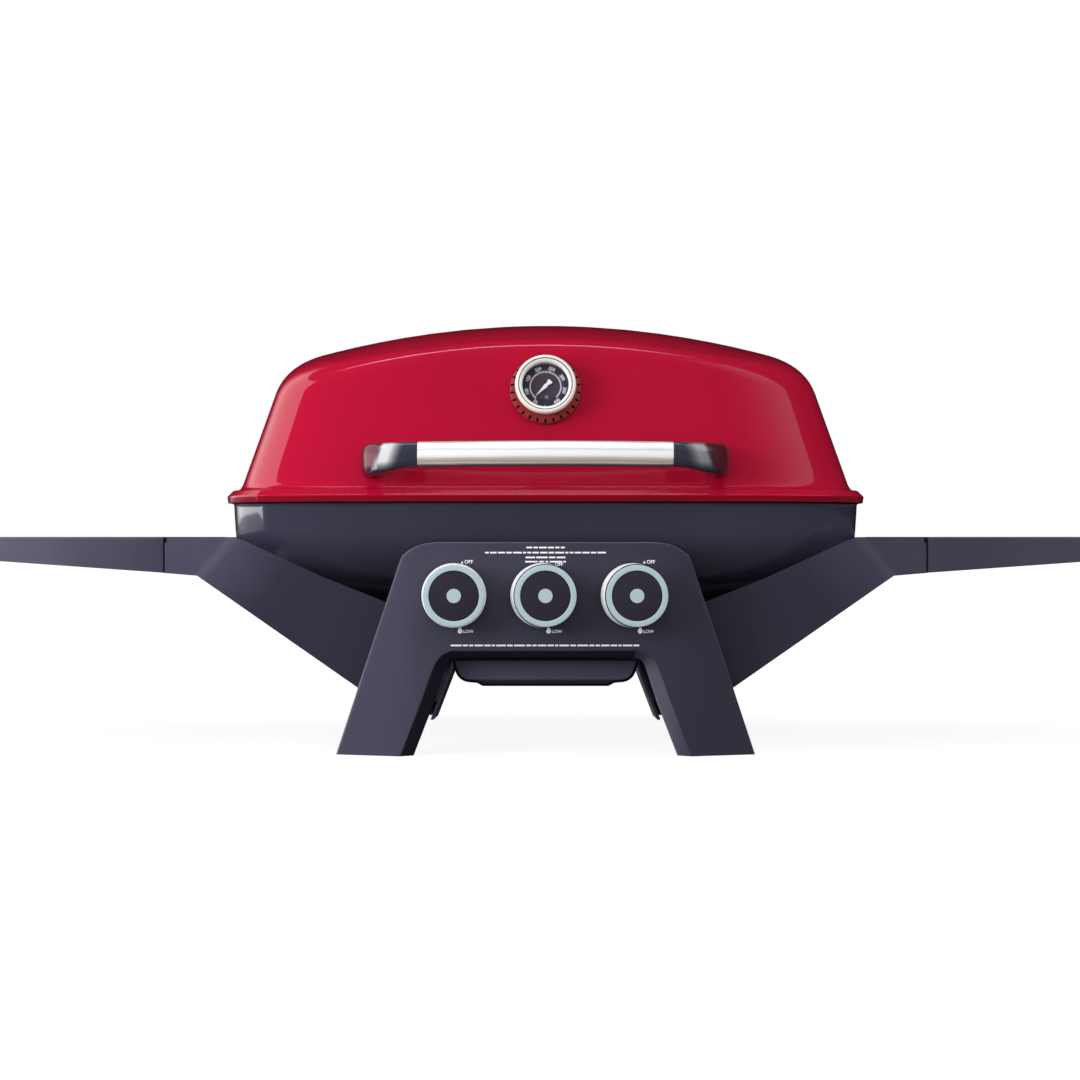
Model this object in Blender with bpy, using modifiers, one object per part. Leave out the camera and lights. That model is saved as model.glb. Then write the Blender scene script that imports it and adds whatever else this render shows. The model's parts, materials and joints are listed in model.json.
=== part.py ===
"""Portable tabletop gas grill: red hood, dark bowl, splayed legs and two fold-up side tables.

Metres. +X is to the user's right, -Y faces the user, +Z is up. The origin is on the
resting plane under the middle of the object. Each physical piece is one named object;
moving pieces hang from empties placed on their joint axes.
"""
import math

import bmesh
import bpy
import numpy as np
from mathutils import Matrix, Vector

# ---------------------------------------------------------------- driving dimensions
GAP = 0.0004                      # clearance between touching pieces
SHEET = 0.0026                    # wall of the pressed hood and of the bowl
CASTING = 0.0032                  # wall of the leg frames

PLAN_POWER = 4.6                  # roundness of the hood and bowl in plan
LIP_X, LIP_Y = 0.3302, 0.2056     # outermost reach of the hood's rolled lip
LIP_Z0, LIP_Z1 = 0.2464, 0.2592   # bottom and top of that lip
WALL_Z = 0.2625                   # where the hood wall starts above the lip
WALL_X, WALL_Y = 0.3160, 0.1905   # hood wall at WALL_Z
LEAN_X, LEAN_Y = 0.345, 0.230     # how much the wall leans in for each metre up
ROOF_Z = 0.4370                   # top of the hood
RIM_X, RIM_Y, RIM_Z = 0.3272, 0.2036, LIP_Z0 - GAP
BOWL_FLOOR = 0.1350

FRAME_Y = 0.2500                  # front and rear faces of the leg frames
FRAME_BACK = 0.2055               # open edge of the frames' outer walls
SWEEP_X, SWEEP = 0.128, 0.305     # legs sweep back outside this width, by this slope
PANEL_TOP = 0.2067
ARCH_TOP = 0.1029
CHAMFER = 0.0125

ARM_Y0, ARM_Y1 = 0.1985, 0.2045   # the arms' front and rear webs
HINGE_X = 0.3745                  # seam between arm and side table
TABLE_TOP = 0.2116
TABLE_END = 0.6480
TABLE_PIN_R = 0.0014
TABLE_BARREL_R = 0.0026
TABLE_AXIS_Z = TABLE_TOP - TABLE_BARREL_R
KNUCKLE_ROOM = TABLE_BARREL_R + GAP

KNOB_X = (-0.0870, 0.0, 0.0870)
KNOB_Z = 0.1554
KNOB_FACE_Y = -0.2750
KNOB_DISC_R = 0.0236
KNOB_RING_R = 0.0296
KNOB_SKIRT_R = 0.0335
STEM_R = 0.0030

HOOD_AXIS_Y, HOOD_AXIS_Z = 0.2225, 0.2465
HOOD_HINGE_X = 0.170
GAUGE_TILT = math.atan(LEAN_Y)
GAUGE_Z = 0.3580

TRAY_Y = -0.2220
TRAY_HALF = 0.0908

# ---------------------------------------------------------------- scene and helpers
for old in list(bpy.data.objects):
    bpy.data.objects.remove(old, do_unlink=True)
for old in list(bpy.data.collections):
    bpy.data.collections.remove(old)

PARTS = bpy.data.collections.new("portable_tabletop_grill")
CUTTERS = bpy.data.collections.new("cutters")
bpy.context.scene.collection.children.link(PARTS)
bpy.context.scene.collection.children.link(CUTTERS)


def material(name, colour, roughness, metallic=0.0, coat=0.0):
    mat = bpy.data.materials.new(name)
    mat.use_nodes = True
    shader = mat.node_tree.nodes["Principled BSDF"]
    shader.inputs["Base Color"].default_value = (*colour, 1.0)
    shader.inputs["Roughness"].default_value = roughness
    shader.inputs["Metallic"].default_value = metallic
    shader.inputs["Coat Weight"].default_value = coat
    mat.diffuse_color = (*colour, 1.0)
    return mat


RED = material("red_enamel", (0.50, 0.006, 0.028), 0.18, 0.0, 1.0)
RUST = material("red_brown_collar", (0.22, 0.03, 0.03), 0.45)
CHARCOAL = material("charcoal_coating", (0.045, 0.043, 0.075), 0.45)
BOWL_BLACK = material("bowl_enamel", (0.036, 0.035, 0.062), 0.35)
BLACK_GLOSS = material("black_gloss_plastic", (0.012, 0.012, 0.018), 0.15)
STEEL = material("brushed_steel", (0.70, 0.68, 0.65), 0.25, 1.0)
CHROME = material("chrome", (0.80, 0.80, 0.80), 0.08, 1.0)
RING_GREY = material("blue_grey_ring", (0.48, 0.60, 0.65), 0.35, 0.6)
KNOB_DARK = material("knob_face", (0.030, 0.025, 0.040), 0.40)
DIAL_DARK = material("dial_face", (0.035, 0.035, 0.055), 0.55)
WHITE = material("white_needle", (0.90, 0.90, 0.90), 0.40)
GLASS = material("gauge_glass", (0.92, 0.95, 0.96), 0.02)
IRON = material("cast_iron_grate", (0.03, 0.03, 0.03), 0.60)
BURNER_STEEL = material("burner_steel", (0.45, 0.44, 0.42), 0.40, 1.0)
BRASS = material("brass", (0.60, 0.42, 0.18), 0.35, 1.0)
RUBBER = material("black_rubber", (0.015, 0.015, 0.015), 0.80)
SPRING = material("spring_steel", (0.55, 0.55, 0.55), 0.30, 1.0)


def shade(mesh, angle=35.0):
    mesh.shade_smooth()
    mesh.set_sharp_from_angle(angle=math.radians(angle))


def add_object(name, mesh, mat=None, cutter=False, smooth=True):
    obj = bpy.data.objects.new(name, mesh)
    if cutter:
        CUTTERS.objects.link(obj)
        obj.hide_render = True
        obj.display_type = "WIRE"
    else:
        PARTS.objects.link(obj)
        mesh.materials.append(mat)
        if smooth:
            shade(mesh)
    return obj


def finish_bmesh(bm, name):
    bmesh.ops.recalc_face_normals(bm, faces=bm.faces)
    mesh = bpy.data.meshes.new(name)
    bm.to_mesh(mesh)
    bm.free()
    return mesh


def block(name, low, high, mat=None, cutter=False, bevel=0.0, segments=2):
    """A box between two corners, its scale applied, with optional rounded edges."""
    bm = bmesh.new()
    bmesh.ops.create_cube(bm, size=1.0)
    low, high = Vector(low), Vector(high)
    centre = (low + high) / 2
    for v in bm.verts:
        v.co = Vector(v.co[i] * (high[i] - low[i]) for i in range(3))
    obj = add_object(name, finish_bmesh(bm, name), mat, cutter, smooth=bevel > 0)
    obj.location = centre
    if bevel:
        rounded(obj, bevel, segments)
    return obj


def rounded(obj, width, segments=2, angle=35.0):
    mod = obj.modifiers.new("bevel", "BEVEL")
    mod.width = width
    mod.segments = segments
    mod.limit_method = "ANGLE"
    mod.angle_limit = math.radians(angle)
    return mod


def rod(name, radius, start, end, mat=None, cutter=False, sides=16, radius2=None):
    """A cylinder or cone between two points, with its origin at the first one."""
    start, end = Vector(start), Vector(end)
    bm = bmesh.new()
    length = (end - start).length
    bmesh.ops.create_cone(
        bm, cap_ends=True, segments=sides, radius1=radius,
        radius2=radius if radius2 is None else radius2, depth=length,
    )
    bmesh.ops.translate(bm, verts=bm.verts, vec=(0, 0, length / 2))
    obj = add_object(name, finish_bmesh(bm, name), mat, cutter)
    obj.location = start
    obj.rotation_mode = "QUATERNION"
    obj.rotation_quaternion = (end - start).to_track_quat("Z", "Y")
    return obj


def turned(name, profile, mat, sides=40, cutter=False):
    """A (radius, height) profile turned about local Z. It starts and ends on the axis,
    or closes on itself, and is ordered so that it runs down its outer side."""
    area = sum(a[0] * b[1] - b[0] * a[1] for a, b in zip(profile, profile[1:] + profile[:1]))
    if area > 0:
        profile = profile[::-1]
    bm = bmesh.new()
    verts = [bm.verts.new((r, 0.0, z)) for r, z in profile]
    for a, b in zip(verts, verts[1:]):
        bm.edges.new((a, b))
    closed = profile[0][0] > 1e-9 and profile[-1][0] > 1e-9
    if closed:
        bm.edges.new((verts[-1], verts[0]))
    mesh = bpy.data.meshes.new(name)
    bm.to_mesh(mesh)
    bm.free()
    obj = add_object(name, mesh, mat, cutter, smooth=False)
    mod = obj.modifiers.new("turn", "SCREW")
    mod.axis = "Z"
    mod.steps = mod.render_steps = sides
    mod.use_merge_vertices = True
    mod.merge_threshold = 0.00001
    mod.use_smooth_shade = True
    return obj


def outline(name, loops, thickness, mat=None, cutter=False):
    """Flat closed outlines filled and extruded about local Z = 0 by half the thickness."""
    data = bpy.data.curves.new(name, "CURVE")
    data.dimensions = "2D"
    data.fill_mode = "BOTH"
    data.extrude = thickness / 2
    for points in loops:
        spline = data.splines.new("POLY")
        spline.points.add(len(points) - 1)
        for p, (x, y) in zip(spline.points, points):
            p.co = (x, y, 0.0, 1.0)
        spline.use_cyclic_u = True
    obj = bpy.data.objects.new(name, data)
    (CUTTERS if cutter else PARTS).objects.link(obj)
    if not cutter:
        data.materials.append(mat)
    return obj


def to_mesh(obj, cutter=False):
    """The evaluated curve as a welded mesh object of the same name and place."""
    bpy.context.view_layer.update()
    graph = bpy.context.evaluated_depsgraph_get()
    mesh = bpy.data.meshes.new_from_object(obj.evaluated_get(graph))
    bm = bmesh.new()
    bm.from_mesh(mesh)
    bmesh.ops.remove_doubles(bm, verts=bm.verts, dist=0.00001)
    bmesh.ops.recalc_face_normals(bm, faces=bm.faces)
    bm.to_mesh(mesh)
    bm.free()
    name, matrix, curve = obj.name, obj.matrix_world.copy(), obj.data
    bpy.data.objects.remove(obj)
    bpy.data.curves.remove(curve)
    mesh.name = name
    made = bpy.data.objects.new(name, mesh)
    if cutter:
        CUTTERS.objects.link(made)
        made.hide_render = True
        made.display_type = "WIRE"
    else:
        PARTS.objects.link(made)
        shade(mesh)
    made.matrix_world = matrix
    return made


def tube(name, points, radius, mat, resolution=3):
    """A round bar along a list of points."""
    data = bpy.data.curves.new(name, "CURVE")
    data.dimensions = "3D"
    data.bevel_depth = radius
    data.bevel_resolution = resolution
    data.use_fill_caps = True
    spline = data.splines.new("POLY")
    spline.points.add(len(points) - 1)
    for p, co in zip(spline.points, points):
        p.co = (*co, 1.0)
    obj = bpy.data.objects.new(name, data)
    PARTS.objects.link(obj)
    data.materials.append(mat)
    return obj


def boolean(obj, other, operation="DIFFERENCE"):
    mod = obj.modifiers.new(operation.lower() + "_" + other.name, "BOOLEAN")
    mod.operation = operation
    mod.solver = "EXACT"
    mod.object = other
    return mod


def loft(name, rings, mat=None, cap_start=True, cap_end=True, cutter=False, smooth=True):
    """Skin closed rings of equal length; the end rings may be capped."""
    bm = bmesh.new()
    rows = [[bm.verts.new(p) for p in ring] for ring in rings]
    n = len(rows[0])
    for a, b in zip(rows, rows[1:]):
        for i in range(n):
            j = (i + 1) % n
            bm.faces.new((a[i], a[j], b[j], b[i]))
    if cap_start:
        bm.faces.new(rows[0][::-1])
    if cap_end:
        bm.faces.new(rows[-1])
    return add_object(name, finish_bmesh(bm, name), mat, cutter, smooth)


def on_axis(name, location, rotation=(0.0, 0.0, 0.0)):
    """An empty on a joint's axis."""
    empty = bpy.data.objects.new(name, None)
    empty.empty_display_size = 0.02
    empty.location = location
    empty.rotation_euler = rotation
    PARTS.objects.link(empty)
    return empty


def hang(empty, *objects):
    """Parent pieces to an empty without moving them."""
    bpy.context.view_layer.update()
    for obj in objects:
        world = obj.matrix_world.copy()
        obj.parent = empty
        obj.matrix_parent_inverse = empty.matrix_world.inverted()
        obj.matrix_world = world


def signed_power(value, power):
    return math.copysign(abs(value) ** power, value)


def plan_point(a, b, t, power=PLAN_POWER):
    return (a * signed_power(math.cos(t), 2 / power), b * signed_power(math.sin(t), 2 / power))


def plan_angles(a, b, count, power=PLAN_POWER):
    """Angles whose points lie about evenly round the outline, denser at its corners."""
    fine = np.linspace(0.0, math.pi / 2, 4001)
    pts = np.array([plan_point(a, b, t, power) for t in fine])
    step = np.linalg.norm(np.diff(pts, axis=0), axis=1)
    tangent = np.unwrap(np.arctan2(np.diff(pts[:, 1]), np.diff(pts[:, 0])))
    turn = np.abs(np.gradient(tangent))
    weight = step / step.sum() * 0.45 + turn / turn.sum() * 0.55
    along = np.concatenate([[0.0], np.cumsum(weight)])
    quarter = np.interp(np.linspace(0.0, along[-1], count // 4 + 1), along, fine)[:-1]
    quarter[0] = 0.0
    out = []
    for q in range(4):
        part = quarter if q % 2 == 0 else None
        if part is not None:
            out += [q * math.pi / 2 + t for t in part]
        else:
            mirrored = [math.pi / 2 - t for t in quarter[1:]][::-1]
            out += [q * math.pi / 2 + t for t in [0.0] + mirrored]
    return out


# ---------------------------------------------------------------- hood
def wall_half(z):
    rise = z - WALL_Z
    return WALL_X - LEAN_X * rise, WALL_Y - LEAN_Y * rise


def roof(x, y):
    """Height of the arched roof above the ground."""
    return ROOF_Z - 0.565 * x * x - 0.030 * (y / 0.156) ** 2


def hood_rings(count=40):
    angles = plan_angles(WALL_X, WALL_Y, count)
    columns = []
    for t in angles:
        c, s = math.cos(t), math.sin(t)
        column = []
        for dx, z in ((0.0, LIP_Z0), (0.0, LIP_Z0 + 0.0040), (-0.0012, LIP_Z1 - 0.0036), (-0.0036, LIP_Z1 - 0.0002)):
            x, y = plan_point(LIP_X + dx, LIP_Y + dx, t)
            column.append(Vector((x, y, z)))
        a, b = wall_half(WALL_Z)
        x, y = plan_point(a + 0.0030, b + 0.0030, t)
        column.append(Vector((x, y, LIP_Z1 + 0.0006)))
        # where this wall line meets the roof
        z = 0.40
        for _ in range(60):
            a, b = wall_half(z)
            x, y = plan_point(a, b, t)
            z = 0.5 * z + 0.5 * roof(x, y)
        crest = Vector((x, y, z))
        side = abs(signed_power(c, 2 / PLAN_POWER)) ** 3
        down = 0.014 + 0.014 * side
        inward = 0.016 + 0.020 * side
        a0, b0 = wall_half(WALL_Z + 0.0015)
        foot = Vector((*plan_point(a0, b0, t), WALL_Z + 0.0015))
        zs = crest.z - down
        start = Vector((*plan_point(*wall_half(zs), t), zs))
        for f in (0.0, 0.5):
            column.append(foot.lerp(start, f))
        flat = Vector((crest.x, crest.y, 0.0))
        shrink = 1.0 - inward / max(flat.length, 1e-6)
        ex, ey = crest.x * shrink, crest.y * shrink
        end = Vector((ex, ey, roof(ex, ey)))
        for f in (0.0, 0.33, 0.67, 1.0):
            column.append(start.lerp(crest, f).lerp(crest.lerp(end, f), f))
        for f in (0.72, 0.38):
            px, py = ex * f, ey * f
            column.append(Vector((px, py, roof(px, py))))
        columns.append(column)
    return [list(ring) for ring in zip(*columns)]


hood = loft("hood", hood_rings(), RED, cap_start=False, cap_end=True)
skin = hood.modifiers.new("wall", "SOLIDIFY")
skin.thickness = SHEET
skin.offset = -1.0
skin.use_even_offset = True
gauge_dir = Vector((0.0, -math.cos(GAUGE_TILT), math.sin(GAUGE_TILT)))
gauge_at = Vector((0.0, -wall_half(GAUGE_Z)[1], GAUGE_Z))
gauge_hole = rod("gauge_hole", 0.0042, gauge_at - gauge_dir * 0.02, gauge_at + gauge_dir * 0.02, cutter=True)
boolean(hood, gauge_hole)

# ---------------------------------------------------------------- bowl
BOWL_PROFILE = (
    (RIM_X, RIM_Y, RIM_Z),
    (RIM_X, RIM_Y, RIM_Z - 0.0032),
    (0.3228, 0.1995, RIM_Z - 0.0044),
    (0.3208, 0.1970, 0.2060),
    (0.3150, 0.1905, 0.1800),
    (0.3030, 0.1800, 0.1620),
    (0.2820, 0.1620, 0.1485),
    (0.2450, 0.1330, 0.1395),
    (0.1600, 0.0800, 0.1356),
)
bowl_angles = plan_angles(RIM_X, RIM_Y, 36)
bowl = loft(
    "bowl",
    [[Vector((*plan_point(a, b, t), z)) for t in bowl_angles] for a, b, z in BOWL_PROFILE][::-1],
    BOWL_BLACK, cap_start=True, cap_end=False,
)
skin = bowl.modifiers.new("wall", "SOLIDIFY")
skin.thickness = SHEET
skin.offset = -1.0
skin.use_even_offset = True
boolean(bowl, rod("grease_hole", 0.014, (0, 0, 0.12), (0, 0, 0.15), cutter=True))
for i, x in enumerate(KNOB_X):
    boolean(bowl, rod(f"burner_hole_{i}", 0.0105, (x, -0.24, KNOB_Z), (x, -0.10, KNOB_Z + 0.004), cutter=True))


# ---------------------------------------------------------------- leg frames
def frame_columns():
    """Matching outer and arch edge points, left foot to right foot, as (outer, inner, chamfer)."""
    foot = -0.0020
    lower = [
        ((-0.2037 + 0.0637 * (z / 0.1893), z), (-0.1409 + 0.0214 * (z / 0.0553), z), CHAMFER)
        for z in (foot, 0.0553)
    ]
    left = lower + [
        ((-0.1745, 0.0875), (-0.1132, 0.0736), 0.0122),
        ((-0.1620, 0.1245), (-0.1070, 0.0891), 0.0112),
        ((-0.1510, 0.1565), (-0.1008, 0.0975), 0.0098),
        ((-0.1399, 0.1893), (-0.0945, 0.1012), 0.0088),
        ((-0.1345, 0.1962), (-0.0883, ARCH_TOP), 0.0083),
        ((-0.1262, 0.2018), (-0.0780, ARCH_TOP), 0.0083),
        ((-0.1156, 0.2053), (-0.0660, ARCH_TOP), 0.0083),
        ((-0.1040, PANEL_TOP), (-0.0540, ARCH_TOP), 0.0083),
        ((-0.0520, PANEL_TOP), (-0.0270, ARCH_TOP), 0.0083),
    ]
    middle = [((0.0, PANEL_TOP), (0.0, ARCH_TOP), 0.0083)]
    right = [((-o[0], o[1]), (-i[0], i[1]), c) for o, i, c in reversed(left)]
    return left + middle + right


def normals_of(points, inward):
    """Unit normals of an open run of (x, z) points."""
    out = []
    for k in range(len(points)):
        a, b = points[max(k - 1, 0)], points[min(k + 1, len(points) - 1)]
        d = Vector((b[0] - a[0], b[1] - a[1])).normalized()
        n = Vector((d[1], -d[0]))
        out.append(n if inward else -n)
    # the feet are cut level, so the ends move sideways only
    for k in (0, -1):
        out[k] = Vector((math.copysign(1.0 / max(abs(out[k][0]), 0.5), out[k][0]), 0.0))
    return out


def leg_frame(name, facing, inner_edge):
    """Hollow casting: a swept face, a chamfered arch and walls turned back round both edges."""
    columns = frame_columns()
    outer = [c[0] for c in columns]
    inner = [c[1] for c in columns]
    n_out = normals_of(outer, True)     # from the outer edge towards the middle
    n_in = normals_of(inner, True)      # from the arch edge into the opening
    bm = bmesh.new()
    rows = []
    for k, (o, i, c) in enumerate(columns):
        o, i = Vector(o), Vector(i)
        edge = o + n_out[k] * 0.0016
        rim = i + n_in[k] * c
        back = i + n_in[k] * (c - 0.0022)
        face = [edge.lerp(i, f) for f in (0.0, 0.33, 0.67, 1.0)]

        def place(p, depth):
            bend = SWEEP * max(0.0, abs(p[0]) - SWEEP_X)
            return bm.verts.new((p[0], facing * (-FRAME_Y + bend + depth), p[1]))

        row = [bm.verts.new((o[0], -facing * FRAME_BACK, o[1])), place(o, 0.0018)]
        row += [place(p, 0.0) for p in face]
        row += [place(rim, c * 0.96)]
        row += [bm.verts.new((back[0], -facing * inner_edge, back[1]))]
        rows.append(row)
    for a, b in zip(rows, rows[1:]):
        for j in range(len(a) - 1):
            bm.faces.new((a[j], a[j + 1], b[j + 1], b[j]))
    bmesh.ops.recalc_face_normals(bm, faces=bm.faces)
    if sum(f.normal.y * f.calc_area() for f in bm.faces) * -facing < 0:
        bmesh.ops.reverse_faces(bm, faces=bm.faces)
    mesh = bpy.data.meshes.new(name)
    bm.to_mesh(mesh)
    bm.free()
    obj = add_object(name, mesh, CHARCOAL, smooth=True)
    skin = obj.modifiers.new("wall", "SOLIDIFY")
    skin.thickness = CASTING
    skin.offset = -1.0
    skin.use_even_offset = True
    skin.use_quality_normals = True
    return obj


front_frame = leg_frame("front_frame", 1.0, 0.2055)
rear_frame = leg_frame("rear_frame", -1.0, 0.1720)
# both frames are cut level just above the ground, where their rubber feet begin
for frame, y in ((front_frame, -0.22), (rear_frame, 0.22)):
    boolean(frame, block(f"cut_{frame.name}_level", (-0.3, y - 0.08, -0.02), (0.3, y + 0.08, 0.0004), cutter=True))
for i, x in enumerate(KNOB_X):
    boolean(front_frame, rod(f"stem_hole_{i}", 0.0066, (x, -0.27, KNOB_Z), (x, -0.235, KNOB_Z), cutter=True))
INLET_X, INLET_Z = 0.1120, 0.1230
boolean(rear_frame, rod("inlet_hole", 0.0072, (INLET_X, 0.23, INLET_Z), (INLET_X, 0.27, INLET_Z), cutter=True))

# ---------------------------------------------------------------- feet
for tag, sx, sy in (("front_left", -1, -1), ("front_right", 1, -1), ("rear_left", -1, 1), ("rear_right", 1, 1)):
    back = 0.2010 if sy < 0 else 0.1760
    rings = []
    for z, out_x, in_x in ((0.0, 0.1975, 0.1385), (0.0180, 0.1912, 0.1318)):
        ring = []
        for x, y in ((out_x, back), (out_x, 0.2240), (out_x - 0.020, 0.2285), (in_x + 0.006, 0.2375), (in_x, 0.2335), (in_x, back)):
            ring.append(Vector((sx * x, sy * y, z)))
        rings.append(ring if sx * sy > 0 else ring[::-1])
    foot = loft(f"foot_{tag}", rings, RUBBER, smooth=False)

# ---------------------------------------------------------------- arms and side tables
# the end of the arm stands clear of the knuckles above and stops the table below them
ARM_OUTLINE = (
    (HINGE_X - KNUCKLE_ROOM, TABLE_TOP), (HINGE_X - KNUCKLE_ROOM, TABLE_AXIS_Z - KNUCKLE_ROOM),
    (HINGE_X, TABLE_AXIS_Z - KNUCKLE_ROOM), (HINGE_X, 0.1761), (0.3419, 0.1734), (0.1846, 0.0634),
    (0.1400, 0.0634), (0.1400, 0.1412), (0.1545, 0.1465), (0.2184, 0.1721),
    (0.2973, 0.2083), (0.3060, 0.2108), (0.3164, TABLE_TOP),
)


def side_arm(name, side):
    mesh_name = name
    rings = []
    for y in (-ARM_Y1, ARM_Y1):
        rings.append([Vector((side * x, y, z)) for x, z in ARM_OUTLINE])
    arm = loft(name, rings, CHARCOAL, smooth=False)
    boolean(arm, block(f"cut_{name}_middle", (min(side * 0.10, side * 0.3350), -ARM_Y0, 0.02), (max(side * 0.10, side * 0.3350), ARM_Y0, 0.25), cutter=True))
    x0, x1 = sorted((side * 0.3382, side * 0.3694))
    boolean(arm, block(f"cut_{name}_pocket", (x0, -ARM_Y0 + 0.003, 0.15), (x1, ARM_Y0 - 0.003, 0.2085), cutter=True))
    # the arm's two knuckles, each on a web below the axis
    for k, sy in enumerate((-1, 1)):
        y0, y1 = sorted((sy * 0.1410, sy * 0.1710))
        boolean(arm, rod(f"add_{name}_barrel_{k}", TABLE_BARREL_R, (side * HINGE_X, y0, TABLE_AXIS_Z), (side * HINGE_X, y1, TABLE_AXIS_Z), cutter=True, sides=12), "UNION")
        x0, x1 = sorted((side * (HINGE_X - KNUCKLE_ROOM - 0.0010), side * (HINGE_X - 0.0002)))
        boolean(arm, block(f"add_{name}_web_{k}", (x0, y0 + 0.0002, TABLE_AXIS_Z - KNUCKLE_ROOM - 0.0010), (x1, y1 - 0.0002, TABLE_AXIS_Z - 0.0002), cutter=True), "UNION")
    boolean(arm, rod(f"cut_{name}_bore", TABLE_PIN_R + 0.0003, (side * HINGE_X, -0.1718, TABLE_AXIS_Z), (side * HINGE_X, 0.1718, TABLE_AXIS_Z), cutter=True, sides=12))
    return arm


def side_table(name, side):
    """Moulded tray: level top, tapered underside with pockets, rounded outer corners."""
    inner = HINGE_X + GAP
    radius, half = 0.030, ARM_Y1
    plan = [(inner, -half), (TABLE_END - radius, -half)]
    plan += [
        (TABLE_END - radius + radius * math.sin(k * math.pi / 10), -half + radius - radius * math.cos(k * math.pi / 10))
        for k in range(1, 6)
    ]
    plan += [(x, -y) for x, y in reversed(plan)]
    def under(x):
        return 0.1763 + 0.0706 * (x - HINGE_X)
    rings = []
    for inset, level in ((0.0, "low"), (0.0, "high"), (0.0016, "top")):
        ring = []
        for x, y in plan:
            px = x - inset if x > inner + 0.01 else x + inset
            py = y - math.copysign(inset, y)
            z = under(x) if level == "low" else TABLE_TOP - (0.0016 if level == "high" else 0.0)
            ring.append(Vector((side * px, py, z)))
        rings.append(ring if side > 0 else ring[::-1])
    table = loft(name, rings, CHARCOAL, smooth=False)
    for k, (xa, xb) in enumerate(((0.3850, 0.4660), (0.4695, 0.5505), (0.5540, 0.6380))):
        x0, x1 = sorted((side * xa, side * xb))
        boolean(table, block(f"cut_{name}_pocket_{k}", (x0, -half + 0.004 if xb < 0.6 else -half + 0.012, 0.16), (x1, half - 0.004 if xb < 0.6 else half - 0.012, TABLE_TOP - 0.0030), cutter=True))
    for k, sy in enumerate((-1, 1)):
        y0, y1 = sorted((sy * 0.1405, sy * 0.1715))
        boolean(table, rod(f"cut_{name}_slot_{k}", KNUCKLE_ROOM, (side * HINGE_X, y0, TABLE_AXIS_Z), (side * HINGE_X, y1, TABLE_AXIS_Z), cutter=True, sides=12))
        y0, y1 = sorted((sy * 0.1000, sy * 0.1400))
        boolean(table, rod(f"add_{name}_barrel_{k}", TABLE_BARREL_R, (side * HINGE_X, y0, TABLE_AXIS_Z), (side * HINGE_X, y1, TABLE_AXIS_Z), cutter=True, sides=12), "UNION")
        x0, x1 = sorted((side * (HINGE_X + 0.0002), side * (HINGE_X + 0.0030)))
        boolean(table, block(f"add_{name}_web_{k}", (x0, y0 + 0.0002, TABLE_AXIS_Z - 0.0020), (x1, y1 - 0.0002, TABLE_AXIS_Z + 0.0020), cutter=True), "UNION")
    boolean(table, rod(f"cut_{name}_bore", TABLE_PIN_R + 0.0003, (side * HINGE_X, -0.1718, TABLE_AXIS_Z), (side * HINGE_X, 0.1718, TABLE_AXIS_Z), cutter=True, sides=12))
    return table


for side, tag in ((-1, "left"), (1, "right")):
    side_arm(f"arm_{tag}", side)
    table = side_table(f"side_table_{tag}", side)
    rod(f"table_hinge_pin_{tag}", TABLE_PIN_R, (side * HINGE_X, -0.1708, TABLE_AXIS_Z), (side * HINGE_X, 0.1708, TABLE_AXIS_Z), STEEL, sides=10)
    hang(on_axis(f"axis_side_table_{tag}", (side * HINGE_X, 0.0, TABLE_AXIS_Z)), table)

# ---------------------------------------------------------------- hood hinges
BARREL_R, PIN_R = 0.0068, 0.0030


def extruded_yz(name, points, x0, x1, mat=None, cutter=False):
    rings = [[Vector((x, y, z)) for y, z in points] for x in sorted((x0, x1))]
    return loft(name, rings, mat, cutter=cutter, smooth=False)


for side, tag in ((-1, "left"), (1, "right")):
    xc = side * HOOD_HINGE_X
    lid_leaf = [
        (0.2172, 0.2488), (0.2064, 0.2560), (0.2064, 0.2632), (0.1915, 0.2668),
        (0.1845, 0.2980), (0.1880, 0.3010), (0.2292, 0.2640), (0.2292, 0.2475),
    ]
    leaf = extruded_yz(f"hood_hinge_{tag}", lid_leaf, xc - 0.0075, xc + 0.0075, RED)
    boolean(leaf, rod(f"add_lid_barrel_{tag}", BARREL_R, (xc - 0.0075, HOOD_AXIS_Y, HOOD_AXIS_Z), (xc + 0.0075, HOOD_AXIS_Y, HOOD_AXIS_Z), cutter=True), "UNION")
    boolean(leaf, rod(f"cut_lid_bore_{tag}", PIN_R + 0.0004, (xc - 0.03, HOOD_AXIS_Y, HOOD_AXIS_Z), (xc + 0.03, HOOD_AXIS_Y, HOOD_AXIS_Z), cutter=True))
    base_leaf = [
        (0.2162, 0.2440), (0.2292, 0.2440), (0.2292, 0.2320), (0.2000, 0.2060),
        (0.1972, 0.2060), (0.1984, 0.2390), (0.2010, 0.2412),
    ]
    base = extruded_yz(f"bowl_hinge_{tag}", base_leaf, xc - 0.0180, xc + 0.0180, BOWL_BLACK)
    boolean(base, rod(f"add_base_barrel_{tag}", BARREL_R, (xc - 0.0180, HOOD_AXIS_Y, HOOD_AXIS_Z), (xc + 0.0180, HOOD_AXIS_Y, HOOD_AXIS_Z), cutter=True), "UNION")
    boolean(base, block(f"cut_base_slot_{tag}", (xc - 0.0080, 0.2080, 0.2345), (xc + 0.0080, 0.2400, 0.2600), cutter=True))
    boolean(base, rod(f"cut_base_bore_{tag}", PIN_R + 0.0004, (xc - 0.03, HOOD_AXIS_Y, HOOD_AXIS_Z), (xc + 0.03, HOOD_AXIS_Y, HOOD_AXIS_Z), cutter=True))
    rod(f"hood_hinge_pin_{tag}", PIN_R, (xc - 0.0200, HOOD_AXIS_Y, HOOD_AXIS_Z), (xc + 0.0200, HOOD_AXIS_Y, HOOD_AXIS_Z), STEEL, sides=10)

# ---------------------------------------------------------------- handle
HANDLE_Z, HANDLE_Y, BAR_HALF = 0.2912, -0.2350, 0.1238


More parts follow.
